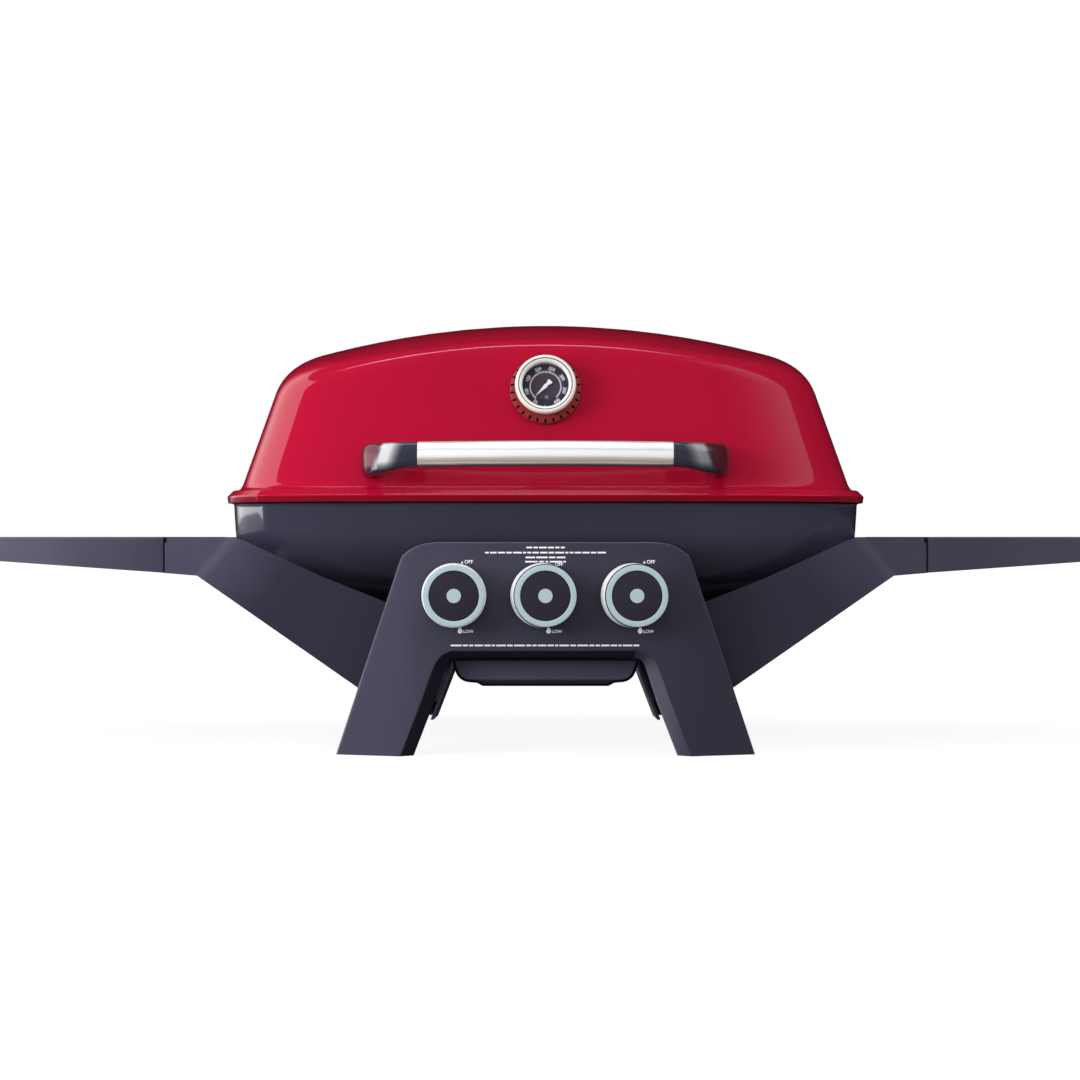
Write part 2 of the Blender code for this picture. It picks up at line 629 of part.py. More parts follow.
def oval(centre, across, up, half_w, half_h, power=2.6, count=16):
    """A closed rounded section in the plane of two directions."""
    out = []
    for k in range(count):
        t = 2 * math.pi * k / count
        x, y = plan_point(half_w, half_h, t, power)
        out.append(centre + across * x + up * y)
    return out


bar_rings = []
for k in range(9):
    x = -BAR_HALF + 2 * BAR_HALF * k / 8
    bow = 0.0050 * (1 - (x / BAR_HALF) ** 2)
    bar_rings.append(oval(Vector((x, HANDLE_Y - bow, HANDLE_Z + 0.15 * bow)), Vector((0, 1, 0)), Vector((0, 0, 1)), 0.0100, 0.0124))
handle_bar = loft("handle_bar", bar_rings, STEEL)

for side, tag in ((-1, "left"), (1, "right")):
    x_foot = 0.1730
    a, b = wall_half(0.2830)
    wall_y = -b * (1 - (x_foot / a) ** PLAN_POWER) ** (1 / PLAN_POWER)
    route = [
        (0.1242, -0.2350, 0.2912, 0.0100, 0.0124), (0.1330, -0.2348, 0.2909, 0.0100, 0.0125),
        (0.1480, -0.2330, 0.2896, 0.0098, 0.0135), (0.1600, -0.2280, 0.2882, 0.0090, 0.0147),
        (0.1680, -0.2200, 0.2872, 0.0082, 0.0156), (0.1722, -0.2100, 0.2866, 0.0078, 0.0160),
        (0.1738, -0.1985, 0.2862, 0.0080, 0.0160), (x_foot, wall_y - 0.0016, 0.2860, 0.0084, 0.0160),
    ]
    rings = []
    for k, (x, y, z, w, h) in enumerate(route):
        p, q = route[max(k - 1, 0)], route[min(k + 1, len(route) - 1)]
        tangent = Vector((q[0] - p[0], q[1] - p[1], 0.0)).normalized()
        if k == 0:
            tangent = Vector((1, 0, 0))
        across = Vector((-tangent.y, tangent.x, 0.0))
        centre = Vector((x, y, z))
        ring = oval(centre, across, Vector((0, 0, 1)), w, h)
        if k == len(route) - 1:
            # the foot lies flat on the leaning wall
            ring = [Vector((p.x, -wall_half(p.z)[1] * (1 - (abs(p.x) / wall_half(p.z)[0]) ** PLAN_POWER) ** (1 / PLAN_POWER) - 0.0006, p.z)) for p in ring]
        ring = [Vector((side * v.x, v.y, v.z)) for v in ring]
        rings.append(ring)
    loft(f"handle_bracket_{tag}", rings, BLACK_GLOSS)

# ---------------------------------------------------------------- temperature gauge
gauge = on_axis("axis_gauge", gauge_at, (math.pi / 2 - GAUGE_TILT, 0.0, 0.0))


def on_gauge(obj):
    obj.parent = gauge
    return obj


on_gauge(turned("gauge_collar", [
    (0.0060, 0.0012), (0.0060, 0.0062), (0.0300, 0.0062), (0.0335, 0.0056), (0.0357, 0.0036), (0.0357, 0.0008), (0.0060, 0.0008),
], RUST, 28))
on_gauge(turned("gauge_case", [
    (0.0000, 0.0066), (0.0270, 0.0066), (0.0280, 0.0150), (0.0302, 0.0168), (0.0302, 0.0215),
    (0.0290, 0.0236), (0.0262, 0.0236), (0.0222, 0.0206), (0.0222, 0.0190),
    (0.0240, 0.0190), (0.0240, 0.0110), (0.0000, 0.0110),
], CHROME, 28))
on_gauge(turned("gauge_dial", [
    (0.0016, 0.0114), (0.0234, 0.0114), (0.0234, 0.0126), (0.0016, 0.0126),
], DIAL_DARK, 24))
on_gauge(turned("gauge_glass", [
    (0.0000, 0.0170), (0.0236, 0.0170), (0.0236, 0.0186), (0.0000, 0.0186),
], GLASS, 24))
needle_angle = math.radians(222.0)
needle = outline("gauge_needle", [[
    (0.0147, 0.0), (0.0020, 0.0014), (-0.0040, 0.0008), (-0.0072, 0.0022), (-0.0092, 0.0020), (-0.0092, -0.0020),
    (-0.0072, -0.0022), (-0.0040, -0.0008), (0.0020, -0.0014),
]], 0.0008, WHITE)
needle = to_mesh(needle)
hub = rod("add_needle_hub", 0.0012, (0, 0, -0.0030), (0, 0, 0.0006), cutter=True, sides=12)
boolean(needle, hub, "UNION")
needle.parent = gauge
needle.location = (0, 0, 0.0144)
needle.rotation_euler = (0, 0, needle_angle)
hub.parent = gauge
hub.location = (0, 0, 0.0114)
on_gauge(turned("gauge_stem", [
    (0.0000, 0.0062), (0.0036, 0.0062), (0.0036, -0.0120), (0.0026, -0.0130), (0.0026, -0.0560), (0.0000, -0.0580),
], STEEL, 20))
nut = on_gauge(turned("gauge_nut", [(0.0046, -0.0034), (0.0085, -0.0034), (0.0085, -0.0082), (0.0046, -0.0082)], STEEL, 6))

# ---------------------------------------------------------------- control knobs and valves
def facing_user(name, profile, x, y, mat, sides=24):
    """A turned piece whose axis runs along Y, local +Z towards the user."""
    obj = turned(name, profile, mat, sides)
    obj.location = (x, y, KNOB_Z)
    obj.rotation_euler = (math.pi / 2, 0.0, 0.0)
    return obj


TAGS = ("left", "centre", "right")
for tag, x in zip(TAGS, KNOB_X):
    slide = on_axis(f"axis_push_{tag}", (x, KNOB_FACE_Y, KNOB_Z))
    ring = facing_user(f"knob_ring_{tag}", [
        (KNOB_DISC_R + 0.0004, 0.0), (KNOB_RING_R - 0.0012, 0.0002), (KNOB_RING_R, -0.0014),
        (KNOB_SKIRT_R, -0.0196), (KNOB_SKIRT_R, -0.0212), (KNOB_SKIRT_R - 0.0022, -0.0212), (KNOB_DISC_R + 0.0004, -0.0080),
    ], x, KNOB_FACE_Y, CHROME)
    disc = facing_user(f"knob_{tag}", [
        (0.0, -0.0004), (KNOB_DISC_R, -0.0006), (KNOB_DISC_R, -0.0062),
        (0.0080, -0.0070), (0.0076, -0.0200), (STEM_R + 0.0004, -0.0200), (STEM_R + 0.0004, -0.0045), (0.0, -0.0045),
    ], x, KNOB_FACE_Y, KNOB_DARK)
    stem = facing_user(f"valve_stem_{tag}", [
        (0.0, -0.0050), (STEM_R, -0.0050), (STEM_R, -0.0420), (0.0, -0.0420),
    ], x, KNOB_FACE_Y, STEEL, 16)
    washer = facing_user(f"spring_seat_{tag}", [
        (STEM_R + 0.0004, -0.0206), (0.0058, -0.0206), (0.0058, -0.0218), (STEM_R + 0.0004, -0.0218),
    ], x, KNOB_FACE_Y, SPRING, 14)
    for obj in (ring, disc, stem, washer):
        hang(slide, obj)
    valve = block(f"valve_{tag}", (x - 0.0090, -0.2464, 0.1446), (x + 0.0090, -0.2235, 0.1650), BRASS)
    boolean(valve, rod(f"add_valve_nozzle_{tag}", 0.0040, (x, -0.2250, KNOB_Z), (x, -0.2120, KNOB_Z), cutter=True, sides=16), "UNION")
    boolean(valve, rod(f"cut_valve_bore_{tag}", STEM_R + 0.0004, (x, -0.2500, KNOB_Z), (x, -0.2285, KNOB_Z), cutter=True, sides=12))

# burners: a straight one in the middle, a swept one on each side
def burner(name, side, x):
    y0 = -0.2110
    pts = [(x, y0, KNOB_Z), (x, -0.1500, KNOB_Z + 0.0014), (x, -0.1200, KNOB_Z + 0.003)]
    if side:
        pts = pts[:2] + [(side * 0.0990, -0.1330, KNOB_Z + 0.003), (side * 0.1250, -0.1200, KNOB_Z + 0.006),
                         (side * 0.1700, -0.1080, KNOB_Z + 0.008), (side * 0.1900, -0.0960, KNOB_Z + 0.008), (side * 0.1960, -0.0780, KNOB_Z + 0.008)]
        pts += [(side * 0.1960, 0.1250, KNOB_Z + 0.008)]
    else:
        pts += [(0.0, 0.1400, KNOB_Z + 0.008)]
    obj = to_mesh(tube(name, pts, 0.0085, BURNER_STEEL, 3))
    # the air inlet slides over the valve nozzle
    boolean(obj, rod(f"cut_{name}_inlet", 0.0058, (x, y0 - 0.01, KNOB_Z), (x, y0 + 0.030, KNOB_Z), cutter=True, sides=16))
    return obj


burner("burner_left", -1, KNOB_X[0])
burner("burner_centre", 0, KNOB_X[1])
burner("burner_right", 1, KNOB_X[2])

for tag, x in (("left", -0.196), ("centre", 0.0), ("right", 0.196)):
    half = 0.1800 if tag == "centre" else 0.1640
    tent = [(-0.0400, 0.1880), (0.0, 0.2040), (0.0400, 0.1880), (0.0400, 0.1862), (0.0385, 0.1862), (0.0, 0.2020), (-0.0385, 0.1862), (-0.0400, 0.1862)]
    rings = [[Vector((x + u, y, z)) for u, z in tent] for y in (-half, half)]
    loft(f"heat_tent_{tag}", rings, BURNER_STEEL, smooth=False)

# cooking grates: slotted castings, one on each side
for side, tag in ((-1, "left"), (1, "right")):
    edge = [(0.0015, -0.1870), (0.1800, -0.1850), (0.2450, -0.1700), (0.2850, -0.1420), (0.2850, 0.1420), (0.2450, 0.1700), (0.1800, 0.1850), (0.0015, 0.1870)]
    loops = [[(side * px, py) for px, py in edge]]
    for k in range(12):
        x0 = 0.0125 + k * 0.0222
        half = 0.172 if x0 < 0.17 else (0.156 if x0 < 0.225 else 0.128)
        loops.append([(side * x0, -half), (side * (x0 + 0.0140), -half), (side * (x0 + 0.0140), half), (side * x0, half)])
    grate = to_mesh(outline(f"cooking_grate_{tag}", loops, 0.0080, IRON))
    grate.location = (0.0, 0.0, 0.2255)

# ---------------------------------------------------------------- gas line
pipe = [(-0.1000, -0.2290, 0.1380), (0.0960, -0.2290, 0.1380), (0.1050, -0.2262, 0.1372), (0.1105, -0.2200, 0.1345),
        (0.1120, -0.2120, 0.1290), (INLET_X, -0.2020, 0.1240), (INLET_X, -0.1850, INLET_Z), (INLET_X, 0.2440, INLET_Z)]
tube("gas_manifold", pipe, 0.0060, BURNER_STEEL, 2)
inlet = turned("gas_inlet", [
    (0.0, 0.0006), (0.0062, 0.0006), (0.0062, 0.0070), (0.0115, 0.0070), (0.0115, 0.0130), (0.0066, 0.0130), (0.0066, 0.0262), (0.0036, 0.0262), (0.0036, 0.0150), (0.0, 0.0150),
], BRASS, 12)
inlet.location = (INLET_X, 0.2446, INLET_Z)
inlet.rotation_euler = (-math.pi / 2, 0.0, 0.0)

# ---------------------------------------------------------------- drip tray and its rails
tray_face = []
for x, z in ((-TRAY_HALF, 0.0928), (-TRAY_HALF + 0.0016, 0.0842), (-TRAY_HALF + 0.0052, 0.0760), (-TRAY_HALF + 0.0120, 0.0708), (-TRAY_HALF + 0.0220, 0.0694)):
    tray_face.append((x, z))
tray_face += [(-0.0668, 0.0692), (-0.0612, 0.0662)]
tray_face += [(-x, z) for x, z in reversed(tray_face)]
front_plate = [[Vector((x, y, z)) for x, z in tray_face] for y in (TRAY_Y, TRAY_Y + 0.0060)]
tray = loft("drip_tray", front_plate, CHARCOAL, smooth=False)
pan = block("add_tray_pan", (-0.0800, TRAY_Y + 0.0040, 0.0720), (0.0800, 0.0900, 0.0900), cutter=True)
boolean(tray, pan, "UNION")
flange = block("add_tray_flange", (-0.0870, TRAY_Y + 0.0040, 0.0882), (0.0870, 0.0900, 0.0900), cutter=True)
boolean(tray, flange, "UNION")
boolean(tray, block("cut_tray_pocket", (-0.0780, TRAY_Y + 0.0080, 0.0740), (0.0780, 0.0880, 0.1000), cutter=True))
hang(on_axis("axis_drip_tray", (0.0, TRAY_Y, 0.0820)), tray)
for side, tag in ((-1, "left"), (1, "right")):
    prof = [(0.0815, 0.0862), (0.0815, 0.0876), (0.0876, 0.0876), (0.0876, 0.0940), (0.0892, 0.0940), (0.0892, 0.0862)]
    rings = [[Vector((side * x, y, z)) for x, z in prof] for y in (-0.2046, 0.1710)]
    loft(f"tray_rail_{tag}", rings, BURNER_STEEL, smooth=False)

# ---------------------------------------------------------------- axis of the hood
bpy.context.view_layer.update()
hood_axis = on_axis("axis_hood", (0.0, HOOD_AXIS_Y, HOOD_AXIS_Z))
lifted = ["hood", "hood_hinge_left", "hood_hinge_right", "handle_bar", "handle_bracket_left", "handle_bracket_right"]
hang(hood_axis, *[bpy.data.objects[n] for n in lifted])
hang(hood_axis, gauge)
bpy.context.view_layer.update()
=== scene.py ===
"""Looks of the portable tabletop grill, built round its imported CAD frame. Metres, +Z up."""
import json
import math

import bmesh
import bpy
import numpy as np
from mathutils import Matrix, Vector

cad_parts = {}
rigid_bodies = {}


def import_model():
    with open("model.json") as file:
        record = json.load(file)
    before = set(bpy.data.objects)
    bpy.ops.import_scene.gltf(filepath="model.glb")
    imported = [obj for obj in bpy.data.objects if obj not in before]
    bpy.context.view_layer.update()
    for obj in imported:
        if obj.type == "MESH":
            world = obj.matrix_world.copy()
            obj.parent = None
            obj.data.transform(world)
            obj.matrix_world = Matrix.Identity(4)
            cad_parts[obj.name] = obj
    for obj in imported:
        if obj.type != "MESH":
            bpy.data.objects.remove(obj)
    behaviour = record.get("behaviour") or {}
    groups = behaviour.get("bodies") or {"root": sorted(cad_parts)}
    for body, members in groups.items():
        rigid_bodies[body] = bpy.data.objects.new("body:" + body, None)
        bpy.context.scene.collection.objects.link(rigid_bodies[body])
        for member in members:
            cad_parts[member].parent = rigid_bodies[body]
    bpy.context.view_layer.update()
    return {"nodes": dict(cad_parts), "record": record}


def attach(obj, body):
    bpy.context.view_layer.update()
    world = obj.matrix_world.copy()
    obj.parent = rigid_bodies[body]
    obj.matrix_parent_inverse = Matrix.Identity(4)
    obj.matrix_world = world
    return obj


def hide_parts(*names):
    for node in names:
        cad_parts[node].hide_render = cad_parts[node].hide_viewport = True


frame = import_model()
RECORD = frame["record"]
NODES = frame["nodes"]
BODY_OF = {n: b for b, members in RECORD["behaviour"]["bodies"].items() for n in members}
SLOT_OF = {s["node"]: s["material_slot"] for s in RECORD["subparts"]}

LOOKS = bpy.data.collections.new("looks")
TOOLS = bpy.data.collections.new("shaping_tools")
bpy.context.scene.collection.children.link(LOOKS)
bpy.context.scene.collection.children.link(TOOLS)


# ---------------------------------------------------------------- materials
def srgb(r, g, b):
    """8-bit colour to linear."""
    return tuple(((c / 255 + 0.055) / 1.055) ** 2.4 if c > 10 else c / 255 / 12.92 for c in (r, g, b))


class Finish:
    """A Principled material with its variation, roughness detail and relief built from noise."""

    def __init__(self, name, colour, roughness, metallic=0.0, coat=0.0, coat_roughness=0.03, ior=1.5, specular=0.5, anisotropic=0.0, coat_ior=1.5):
        self.mat = bpy.data.materials.new(name)
        self.mat.use_nodes = True
        self.tree = self.mat.node_tree
        self.shader = self.tree.nodes["Principled BSDF"]
        self.colour = colour
        self.put("Base Color", (*colour, 1.0))
        self.put("Roughness", roughness)
        self.put("Metallic", metallic)
        self.put("Coat Weight", coat)
        self.put("Coat Roughness", coat_roughness)
        self.put("Coat IOR", coat_ior)
        self.put("IOR", ior)
        self.put("Specular IOR Level", specular)
        self.put("Anisotropic", anisotropic)
        self.mat.diffuse_color = (*colour, 1.0)
        self.roughness = roughness
        self.where = self.new("ShaderNodeTexCoord").outputs["Object"]
        self.normal = None

    def new(self, kind, **values):
        node = self.tree.nodes.new(kind)
        for key, value in values.items():
            setattr(node, key, value)
        return node

    def link(self, a, b):
        self.tree.links.new(a, b)

    def put(self, socket, value):
        self.shader.inputs[socket].default_value = value

    def noise(self, scale, detail=3.0, stretch=(1.0, 1.0, 1.0), roughness=0.55, where=None):
        mapping = self.new("ShaderNodeMapping")
        mapping.inputs["Scale"].default_value = stretch
        self.link(where or self.where, mapping.inputs["Vector"])
        noise = self.new("ShaderNodeTexNoise")
        noise.inputs["Scale"].default_value = scale
        noise.inputs["Detail"].default_value = detail
        noise.inputs["Roughness"].default_value = roughness
        self.link(mapping.outputs["Vector"], noise.inputs["Vector"])
        return noise.outputs["Fac"]

    def radial(self, scale, detail=2.0):
        """Noise that depends on the distance from the local Z axis only: turned and spun faces."""
        split = self.new("ShaderNodeSeparateXYZ")
        self.link(self.where, split.inputs[0])
        length = self.math("SQRT", self.math("ADD", self.math("MULTIPLY", split.outputs[0], split.outputs[0]), self.math("MULTIPLY", split.outputs[1], split.outputs[1])))
        join = self.new("ShaderNodeCombineXYZ")
        self.link(length, join.inputs[0])
        return self.noise(scale, detail, where=join.outputs[0])

    def math(self, operation, a, b=None, clamp=False):
        node = self.new("ShaderNodeMath", operation=operation, use_clamp=clamp)
        for k, v in enumerate((a, b)):
            if v is None:
                continue
            if isinstance(v, (int, float)):
                node.inputs[k].default_value = v
            else:
                self.link(v, node.inputs[k])
        return node.outputs[0]

    def spread(self, fac, low, high, start=0.3, end=0.7):
        node = self.new("ShaderNodeMapRange")
        node.inputs["From Min"].default_value = start
        node.inputs["From Max"].default_value = end
        node.inputs["To Min"].default_value = low
        node.inputs["To Max"].default_value = high
        self.link(fac, node.inputs["Value"])
        return node.outputs["Result"]

    def tint(self, fac, dark, light, start=0.3, end=0.7):
        """Colour runs between two shades with a noise."""
        mix = self.new("ShaderNodeMix", data_type="RGBA")
        mix.inputs["A"].default_value = (*dark, 1.0)
        mix.inputs["B"].default_value = (*light, 1.0)
        for socket in mix.inputs:
            if socket.name == "A" and socket.type == "RGBA":
                socket.default_value = (*dark, 1.0)
            if socket.name == "B" and socket.type == "RGBA":
                socket.default_value = (*light, 1.0)
        self.link(self.spread(fac, 0.0, 1.0, start, end), mix.inputs[0])
        colour = [s for s in mix.outputs if s.type == "RGBA"][0]
        self.link(colour, self.shader.inputs["Base Color"])
        return self

    def vary(self, scale, amount, stretch=(1, 1, 1), fac=None):
        c = self.colour
        dark = tuple(max(0.0, v * (1 - amount)) for v in c)
        light = tuple(min(1.0, v * (1 + amount)) for v in c)
        return self.tint(fac if fac is not None else self.noise(scale, 4.0, stretch), dark, light)

    def darken(self, fac, colour):
        """Mixes a second shade over whatever drives the colour now."""
        socket = self.shader.inputs["Base Color"]
        mix = self.new("ShaderNodeMix", data_type="RGBA")
        colours = [k for k in mix.inputs if k.type == "RGBA"]
        if socket.is_linked:
            self.link(socket.links[0].from_socket, colours[0])
        else:
            colours[0].default_value = (*self.colour, 1.0)
        colours[1].default_value = (*colour, 1.0)
        self.link(fac, mix.inputs[0])
        self.link([k for k in mix.outputs if k.type == "RGBA"][0], socket)
        return self

    def rough(self, scale, amount, stretch=(1, 1, 1), fac=None):
        fac = fac if fac is not None else self.noise(scale, 4.0, stretch)
        self.link(self.spread(fac, max(0.0, self.roughness - amount), self.roughness + amount), self.shader.inputs["Roughness"])
        return self

    def relief(self, scale, depth, stretch=(1, 1, 1), strength=1.0, fac=None, detail=3.0, coat=False):
        bump = self.new("ShaderNodeBump")
        bump.inputs["Strength"].default_value = strength
        bump.inputs["Distance"].default_value = depth
        self.link(fac if fac is not None else self.noise(scale, detail, stretch), bump.inputs["Height"])
        if self.normal is not None:
            self.link(self.normal, bump.inputs["Normal"])
        self.normal = bump.outputs["Normal"]
        self.link(self.normal, self.shader.inputs["Normal"])
        if coat:
            self.link(self.normal, self.shader.inputs["Coat Normal"])
        return self


RED = (0.415, 0.0036, 0.0290)
red_enamel = Finish("red_enamel", RED, 0.32, coat=1.0, coat_roughness=0.02, specular=0.02).vary(9.0, 0.030).rough(35.0, 0.04).relief(420.0, 0.000004, coat=True).mat
# painted shade: a darker copy of the red enamel for the lip's lower half, standing in for the shade under the lip
red_lip_painted_shade = Finish("red_enamel_lip_painted_shade", (0.235, 0.0025, 0.0150), 0.34, coat=0.6, coat_roughness=0.04, specular=0.05).vary(9.0, 0.05).rough(35.0, 0.04).relief(420.0, 0.000004, coat=True).mat
dark_red = Finish("red_enamel_inner", (0.20, 0.004, 0.014), 0.45, coat=0.4, coat_roughness=0.1).vary(14.0, 0.10).relief(500.0, 0.00001).mat
collar_red = Finish("red_brown_collar", srgb(146, 44, 44), 0.42, specular=0.4).vary(120.0, 0.12).rough(200.0, 0.05).relief(1500.0, 0.00002).mat
charcoal = Finish("charcoal_moulding", srgb(59, 57, 77), 0.46, specular=0.5).vary(14.0, 0.045).rough(240.0, 0.05).relief(2600.0, 0.00003, strength=0.6).relief(700.0, 0.000015, strength=0.5).mat


def arm_finish(side):
    """The arm's sloping part leans away from the light, so it is painted a shade darker past the crease; a painted
    highlight runs along the crease, the left arm is painted lighter than the right, and a painted shadow line darkens
    its outer end where the table meets it.
    """
    made = Finish(f"charcoal_arm_painted_light_{'left' if side < 0 else 'right'}", srgb(59, 57, 77), 0.46)
    split_arm = made.new("ShaderNodeSeparateXYZ")
    made.link(made.where, split_arm.inputs[0])
    top, low = Vector((0.3106, 0.2116)), Vector((0.3431, 0.1734))
    along = (low - top).normalized()
    across = Vector((along.y, -along.x))
    if across.x > 0:
        across = -across
    d = made.math("ADD", made.math("MULTIPLY", split_arm.outputs[0], side * across.x), made.math("MULTIPLY", split_arm.outputs[2], across.y))
    d = made.math("ADD", d, -(top.x * across.x + top.y * across.y))
    far = made.spread(d, 0.0, 1.0, 0.004, 0.075)
    # painted highlight: a lighter streak along the crease at the bend
    crease_painted_highlight = made.math("MULTIPLY", made.spread(d, 0.0, 1.0, -0.0030, 0.0020), made.spread(d, 1.0, 0.0, 0.0020, 0.0110))
    cloud = made.spread(made.noise(30.0, 5.0), -0.06, 0.06)
    tone = made.math("ADD", made.math("MULTIPLY", far, -0.72), made.math("MULTIPLY", crease_painted_highlight, 0.45))
    tone = made.math("ADD", made.math("ADD", tone, cloud), 0.62, clamp=True)
    # the left arm's shades are painted lighter than the right's: painted light from the left
    if side < 0:
        made.tint(tone, srgb(48, 47, 66), srgb(84, 82, 102), 0.0, 1.0)
    else:
        made.tint(tone, srgb(49, 48, 66), srgb(72, 70, 90), 0.0, 1.0)
    # painted shadow line at the arm's outer end, where the table meets it
    made.darken(made.spread(split_arm.outputs[0], 0.0, 0.92, side * 0.3731, side * 0.3738) if side > 0 else made.spread(split_arm.outputs[0], 0.92, 0.0, -0.3738, -0.3731), (0.004, 0.004, 0.006))
    made.rough(240.0, 0.05)
    return made.relief(2600.0, 0.00003, strength=0.6).relief(700.0, 0.000015, strength=0.5).mat


def frame_finish():
    """Front and rear frames: a faint lighter run down the left edge, as the casting turns to the light."""
    made = Finish("charcoal_frame", srgb(59, 57, 77), 0.44)
    split_frame = made.new("ShaderNodeSeparateXYZ")
    made.link(made.where, split_frame.inputs[0])
    cloud = made.math("ADD", split_frame.outputs[0], made.math("MULTIPLY", made.noise(14.0, 4.0), 0.03))
    made.tint(made.spread(cloud, 0.0, 1.0, -0.15, 0.17), srgb(67, 66, 85), srgb(52, 50, 67), 0.0, 1.0)
    made.rough(240.0, 0.05)
    return made.relief(2600.0, 0.00003, strength=0.6).relief(700.0, 0.000015, strength=0.5).mat


charcoal_frame = frame_finish()
# painted shade: a darker copy of the charcoal for the inner chamfers that face away from the light
chamfer_painted_shade = Finish("charcoal_chamfer", srgb(33, 31, 43), 0.44, specular=0.3).vary(14.0, 0.08).rough(240.0, 0.05).relief(2600.0, 0.00003, strength=0.6).mat
# painted highlight: a lighter charcoal on the front frame's rounded outer edge, standing in for the light caught along
# that edge
edge_painted_highlight = Finish("charcoal_rim_painted_highlight", srgb(88, 86, 103), 0.34, specular=0.6).vary(40.0, 0.20).rough(240.0, 0.05).relief(2600.0, 0.00002, strength=0.5).mat
# the right leg's chamfer faces the light and keeps the lighter charcoal: lit and shaded copies of one material
chamfer_painted_lit_side = Finish("charcoal_chamfer_right_painted_light", srgb(60, 58, 76), 0.44, specular=0.4).vary(14.0, 0.06).rough(240.0, 0.05).relief(2600.0, 0.00003, strength=0.6).mat
charcoal_arm_painted_light = {-1: arm_finish(-1), 1: arm_finish(1)}
# painted light: the table tops are painted lighter towards their outer ends, most on the left, where the lamps fall
table_painted_shading = Finish("table_painted_shading", srgb(68, 66, 86), 0.46)
table_split = table_painted_shading.new("ShaderNodeSeparateXYZ")
table_painted_shading.link(table_painted_shading.where, table_split.inputs[0])
table_reach = table_painted_shading.math("ADD", table_split.outputs[0], table_painted_shading.spread(table_painted_shading.noise(26.0, 5.0), -0.03, 0.03))
left_end_painted_light = table_painted_shading.spread(table_reach, 1.0, 0.0, -0.60, -0.37)
right_end_painted_light = table_painted_shading.spread(table_reach, 0.10, 0.42, 0.42, 0.62)
table_painted_shading.tint(table_painted_shading.math("MAXIMUM", left_end_painted_light, table_painted_shading.math("MULTIPLY", right_end_painted_light, table_painted_shading.spread(table_reach, 0.0, 1.0, -0.1, 0.1))), srgb(60, 58, 76), srgb(94, 91, 108), 0.0, 1.0)
# painted shadow line at the seam where the arm meets the table
table_painted_shading.darken(table_painted_shading.spread(table_painted_shading.math("ABSOLUTE", table_split.outputs[0]), 0.85, 0.0, 0.3752, 0.3757), (0.004, 0.004, 0.006))
table_painted_shading = table_painted_shading.rough(240.0, 0.05).relief(2600.0, 0.00003, strength=0.6).relief(700.0, 0.000015, strength=0.5).mat
tray_painted_shade = Finish("tray_painted_shade", srgb(70, 69, 92), 0.50, specular=0.45).vary(20.0, 0.05)
tray_split = tray_painted_shade.new("ShaderNodeSeparateXYZ")
tray_painted_shade.link(tray_painted_shade.where, tray_split.inputs[0])
# painted shade: the tray is painted near-black below z 0.072, along its lower edge
tray_painted_shade.darken(tray_painted_shade.spread(tray_split.outputs[2], 0.90, 0.0, 0.0716, 0.0736), (0.010, 0.010, 0.017))
tray_painted_shade = tray_painted_shade.relief(2600.0, 0.00003, strength=0.6).mat
bowl_enamel = Finish("bowl_enamel", srgb(56, 55, 73), 0.40, coat=1.0, coat_roughness=0.10, ior=1.5, specular=0.1, coat_ior=2.1).vary(10.0, 0.04).rough(60.0, 0.04)
bowl_split = bowl_enamel.new("ShaderNodeSeparateXYZ")
bowl_enamel.link(bowl_enamel.where, bowl_split.inputs[0])
# painted shade: the bowl is painted darker from z 0.216 down to near-black below z 0.166, where it curves under
bowl_enamel.darken(bowl_enamel.spread(bowl_split.outputs[2], 0.82, 0.0, 0.166, 0.216), (0.004, 0.004, 0.007))
bowl_enamel = bowl_enamel.relief(900.0, 0.000012, strength=0.6, coat=True).mat
gloss_black = Finish("black_gloss_moulding", (0.20, 0.20, 0.26), 0.16, metallic=0.55).vary(60.0, 0.05).rough(120.0, 0.03).relief(1200.0, 0.000004, coat=True).mat


